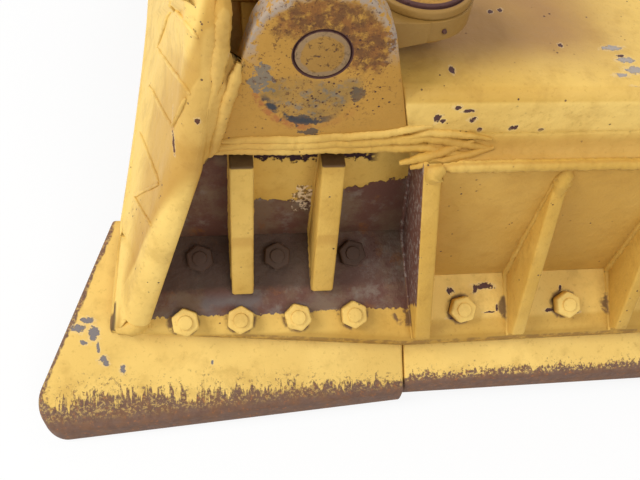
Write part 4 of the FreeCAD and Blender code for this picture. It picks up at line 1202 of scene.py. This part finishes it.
def onSkirt(station, across):
    # A point of the slope: along it by stations, and across it from the blade's end, 0, to the ridge, 1
    station = min(max(station, 0), len(skirtRings) - 1.001)
    across = min(max(across, 0), 0.999) * skirt["steps"]
    row, column = int(station), int(across)
    rings = [skirtRings[row + step][column].lerp(skirtRings[row + step][column + 1], across - column)
             for step in (0, 1)]
    return rings[0].lerp(rings[1], station - row)


web = {"foot": 0.348, "step": 0.005, "rings": 27, "notchFrom": 0.445, "notch": 0.7, "root": 0.166}


def earWeb():
    # Weld metal between each outer ear and its cheek
    strips = []
    for side in (-1, 1):
        rings = []
        for number in range(web["rings"]):
            height = web["foot"] + number * web["step"]
            back, inner, outer = cheekBack(height), cheekX(height), earX(height)
            notch = max(0, height - web["notchFrom"]) * web["notch"]
            spots = [(inner + 0.007, back + 0.0002),
                     ((inner + outer) / 2, (back + corner["earFace"]) / 2 + 0.002 + notch),
                     (outer - 0.003, corner["earFace"] - 0.0008), (inner + 0.003, web["root"])]
            rings.append(curvedRing(*[tip(side * x, y, height) for x, y in spots]))
        strips.append(rings)
    skin("ear_web", strips, materials["paint_yellow"])


def nutForm():
    work = bmesh.new()
    around = nutStyle["flats"] / math.sqrt(3)
    for segments, radius, depth, edge in ((6, around, nutStyle["height"], nutStyle["edge"]),
                                          (20, nutStyle["boltRadius"],
                                           nutStyle["height"] + nutStyle["boltRise"], 0.0016)):
        made = bmesh.ops.create_cone(work, cap_ends=True, segments=segments, radius1=radius, radius2=radius,
                                     depth=depth)["verts"]
        bmesh.ops.translate(work, verts=made, vec=(0, 0, depth / 2 - 0.001))
        rims = {line for vertex in made for line in vertex.link_edges
                if max(end.co.z for end in line.verts) > depth * 0.6 and (segments == 6 or
                abs(line.verts[0].co.z - line.verts[1].co.z) < 1e-6)}
        bmesh.ops.bevel(work, geom=list(rims), offset=edge, segments=3, profile=0.5, affect="EDGES",
                        clamp_overlap=True)
    return linked("nut_form", meshFrom(work, "nut_form"))


def nutPieces():
    group, form, turns = nutGroup(), nutForm(), nutStyle["turns"]
    painted = list(nutStyle["bitSpots"]) + [(number + 0.5) * nutStyle["pitch"]
                                            for number in range(nutStyle["cells"])]
    for name, row, s, slot in (("edge_nuts", painted, nutStyle["bitRow"], "paint_yellow"),
                               ("recess_nuts", nutStyle["steelSpots"], nutStyle["steelRow"], "bare_steel")):
        mesh = bpy.data.meshes.new(name + "_spots")
        spots = [onEdge(side * x, s, footWelds["plateBack"]) for x in row for side in (-1, 1)]
        mesh.from_pydata(spots, [], [])
        turn = mesh.attributes.new("turn", "FLOAT", "POINT")
        turn.data.foreach_set("value", [turns[index // 2 % len(turns)] for index in range(len(spots))])
        made = grown(linked(name + "_spots", mesh), group,
                     {"Form": form, "Tilt": edgeLean, "Material": materials[slot]})
        made.name = name
        outwards(made)
        addPiece(name, made, materials[slot], "blade")
    bpy.data.objects.remove(form)


# Hardfacing: a lattice of thin beads on the outer slopes, first where the photograph shows it
lattice = {"seen": [((168, 2), (198, 38)), ((157, 48), (190, 94)), ((149, 85), (173, 129)),
                    ((140, 132), (159, 182)), ((134, 196), (151, 226)), ((170, 12), (158, 46)),
                    ((186, 98), (172, 128)), ((159, 184), (134, 196))],
           "radius": 0.0028, "steps": 12, "first": 47, "pitch": 7, "span": 9, "lines": 6,
           "across": (0.05, 0.93)}


def hardfacing():
    paths, steps = Paths(), lattice["steps"]
    shownTree = surfaces("moldboard", "base_edge", "end_cheek_left_dressed", "end_skirts", "ear_outer_left")
    for start, end in lattice["seen"]:
        spots = []
        for number in range(steps + 1):
            spot = seen(*Vector(start).lerp(Vector(end), number / steps), shownTree)[0]
            if spot and spot.z > tipZ + 0.1:
                spots.append(spot)
        if len(spots) > 3:
            paths.add(spots, lattice["radius"])
    low, high = lattice["across"]
    for number in range(lattice["lines"]):
        station = lattice["first"] + number * lattice["pitch"]
        for first, last in ((low, high), (high, low)):
            shares = [step / steps for step in range(steps + 1)]
            paths.add([onSkirt(station + lattice["span"] * share, first + (last - first) * share)
                       for share in shares], lattice["radius"])
    weld("hardfacing", paths, smallBead, materials["paint_yellow"])


fitting = {"place": (444, 31), "radius": 0.0035, "length": 0.006, "segments": 10}


def fittings():
    # A grease fitting on each knuckle's head
    spot, normal = seen(*fitting["place"], surfaces("knuckle_left"))[:2]
    for body, side in (("knuckle_left", 1), ("knuckle_right", -1)):
        work = bmesh.new()
        bmesh.ops.create_cone(work, cap_ends=True, segments=fitting["segments"], radius1=fitting["radius"],
                              radius2=fitting["radius"] * 0.6, depth=fitting["length"])
        place = Vector((spot.x * side, spot.y, spot.z))
        turn = Vector((normal.x * side, normal.y, normal.z)).to_track_quat("Z", "Y").to_matrix().to_4x4()
        bmesh.ops.transform(work, matrix=Matrix.Translation(place) @ turn, verts=work.verts)
        name = "fitting_" + body
        addPiece(name, meshFrom(work, name, False), materials["pin_steel"], body)


earWelds()
cornerWelds()
backWelds()
ledgeFillet()
earWeb()
endSkirts()
nutPieces()
hardfacing()
fittings()

# Floor and light
stage = {"floorSize": 14, "floorHeight": -0.001, "floorTone": (0.86, 0.86, 0.85), "whiteShare": 0.88,
         "sky": 0.43, "skyTone": (1, 0.99, 0.97)}


def makeFloor():
    half = stage["floorSize"] / 2
    mesh = bpy.data.meshes.new("floor")
    mesh.from_pydata([(-half, -half, 0), (half, -half, 0), (half, half, 0), (-half, half, 0)], [],
                     [(0, 1, 2, 3)])
    finish = Finish("floor_pale")
    matt = finish.put("ShaderNodeBsdfDiffuse", {}, {"Color": (*stage["floorTone"], 1)})
    white = finish.put("ShaderNodeEmission", {}, {"Color": (1, 1, 1, 1), "Strength": 1.0})
    share = finish.shown() * stage["whiteShare"]
    mixed = finish.put("ShaderNodeMixShader", {}, {0: share, 1: matt, 2: white})
    finish.end("ShaderNodeOutputMaterial", mixed)
    mesh.materials.append(finish.material)
    floor = linked("floor", mesh)
    floor.location.z = stage["floorHeight"]


def makeSky():
    world = bpy.data.worlds.new("studio")
    world.use_nodes = True
    bench = Bench(world.node_tree)
    world.node_tree.nodes.clear()
    dim = bench.put("ShaderNodeBackground", {}, {"Color": (*stage["skyTone"], 1), "Strength": stage["sky"]})
    white = bench.put("ShaderNodeBackground", {}, {"Color": (1, 1, 1, 1), "Strength": 1.0})
    mixed = bench.put("ShaderNodeMixShader", {}, {0: bench.shown(), 1: dim, 2: white})
    bench.end("ShaderNodeOutputWorld", mixed)
    bpy.context.scene.world = world


lamps = {
    "key": {"place": (-0.2, -3.2, 3.4), "aim": (-1.3, -0.4, 0.2), "size": 2.0, "power": 62},
    "top": {"place": (1.2, 1.5, 4.2), "aim": (0, 0, 0), "size": 3.5, "power": 40},
    "far": {"place": (-4.2, -0.9, 2.9), "aim": (-1.4, -0.3, 0.2), "size": 2.0, "power": 108},
}


def makeLamps():
    for name, lamp in lamps.items():
        data = bpy.data.lights.new(name, "AREA")
        data.shape, data.size, data.energy = "DISK", lamp["size"], lamp["power"]
        place, aim = Vector(lamp["place"]), Vector(lamp["aim"])
        turn = (place - aim).to_track_quat("Z", "Y").to_matrix().to_4x4()
        linked(name, data).matrix_world = Matrix.Translation(place) @ turn


makeFloor()
makeSky()
makeLamps()
print("floor, sky and lamps set")
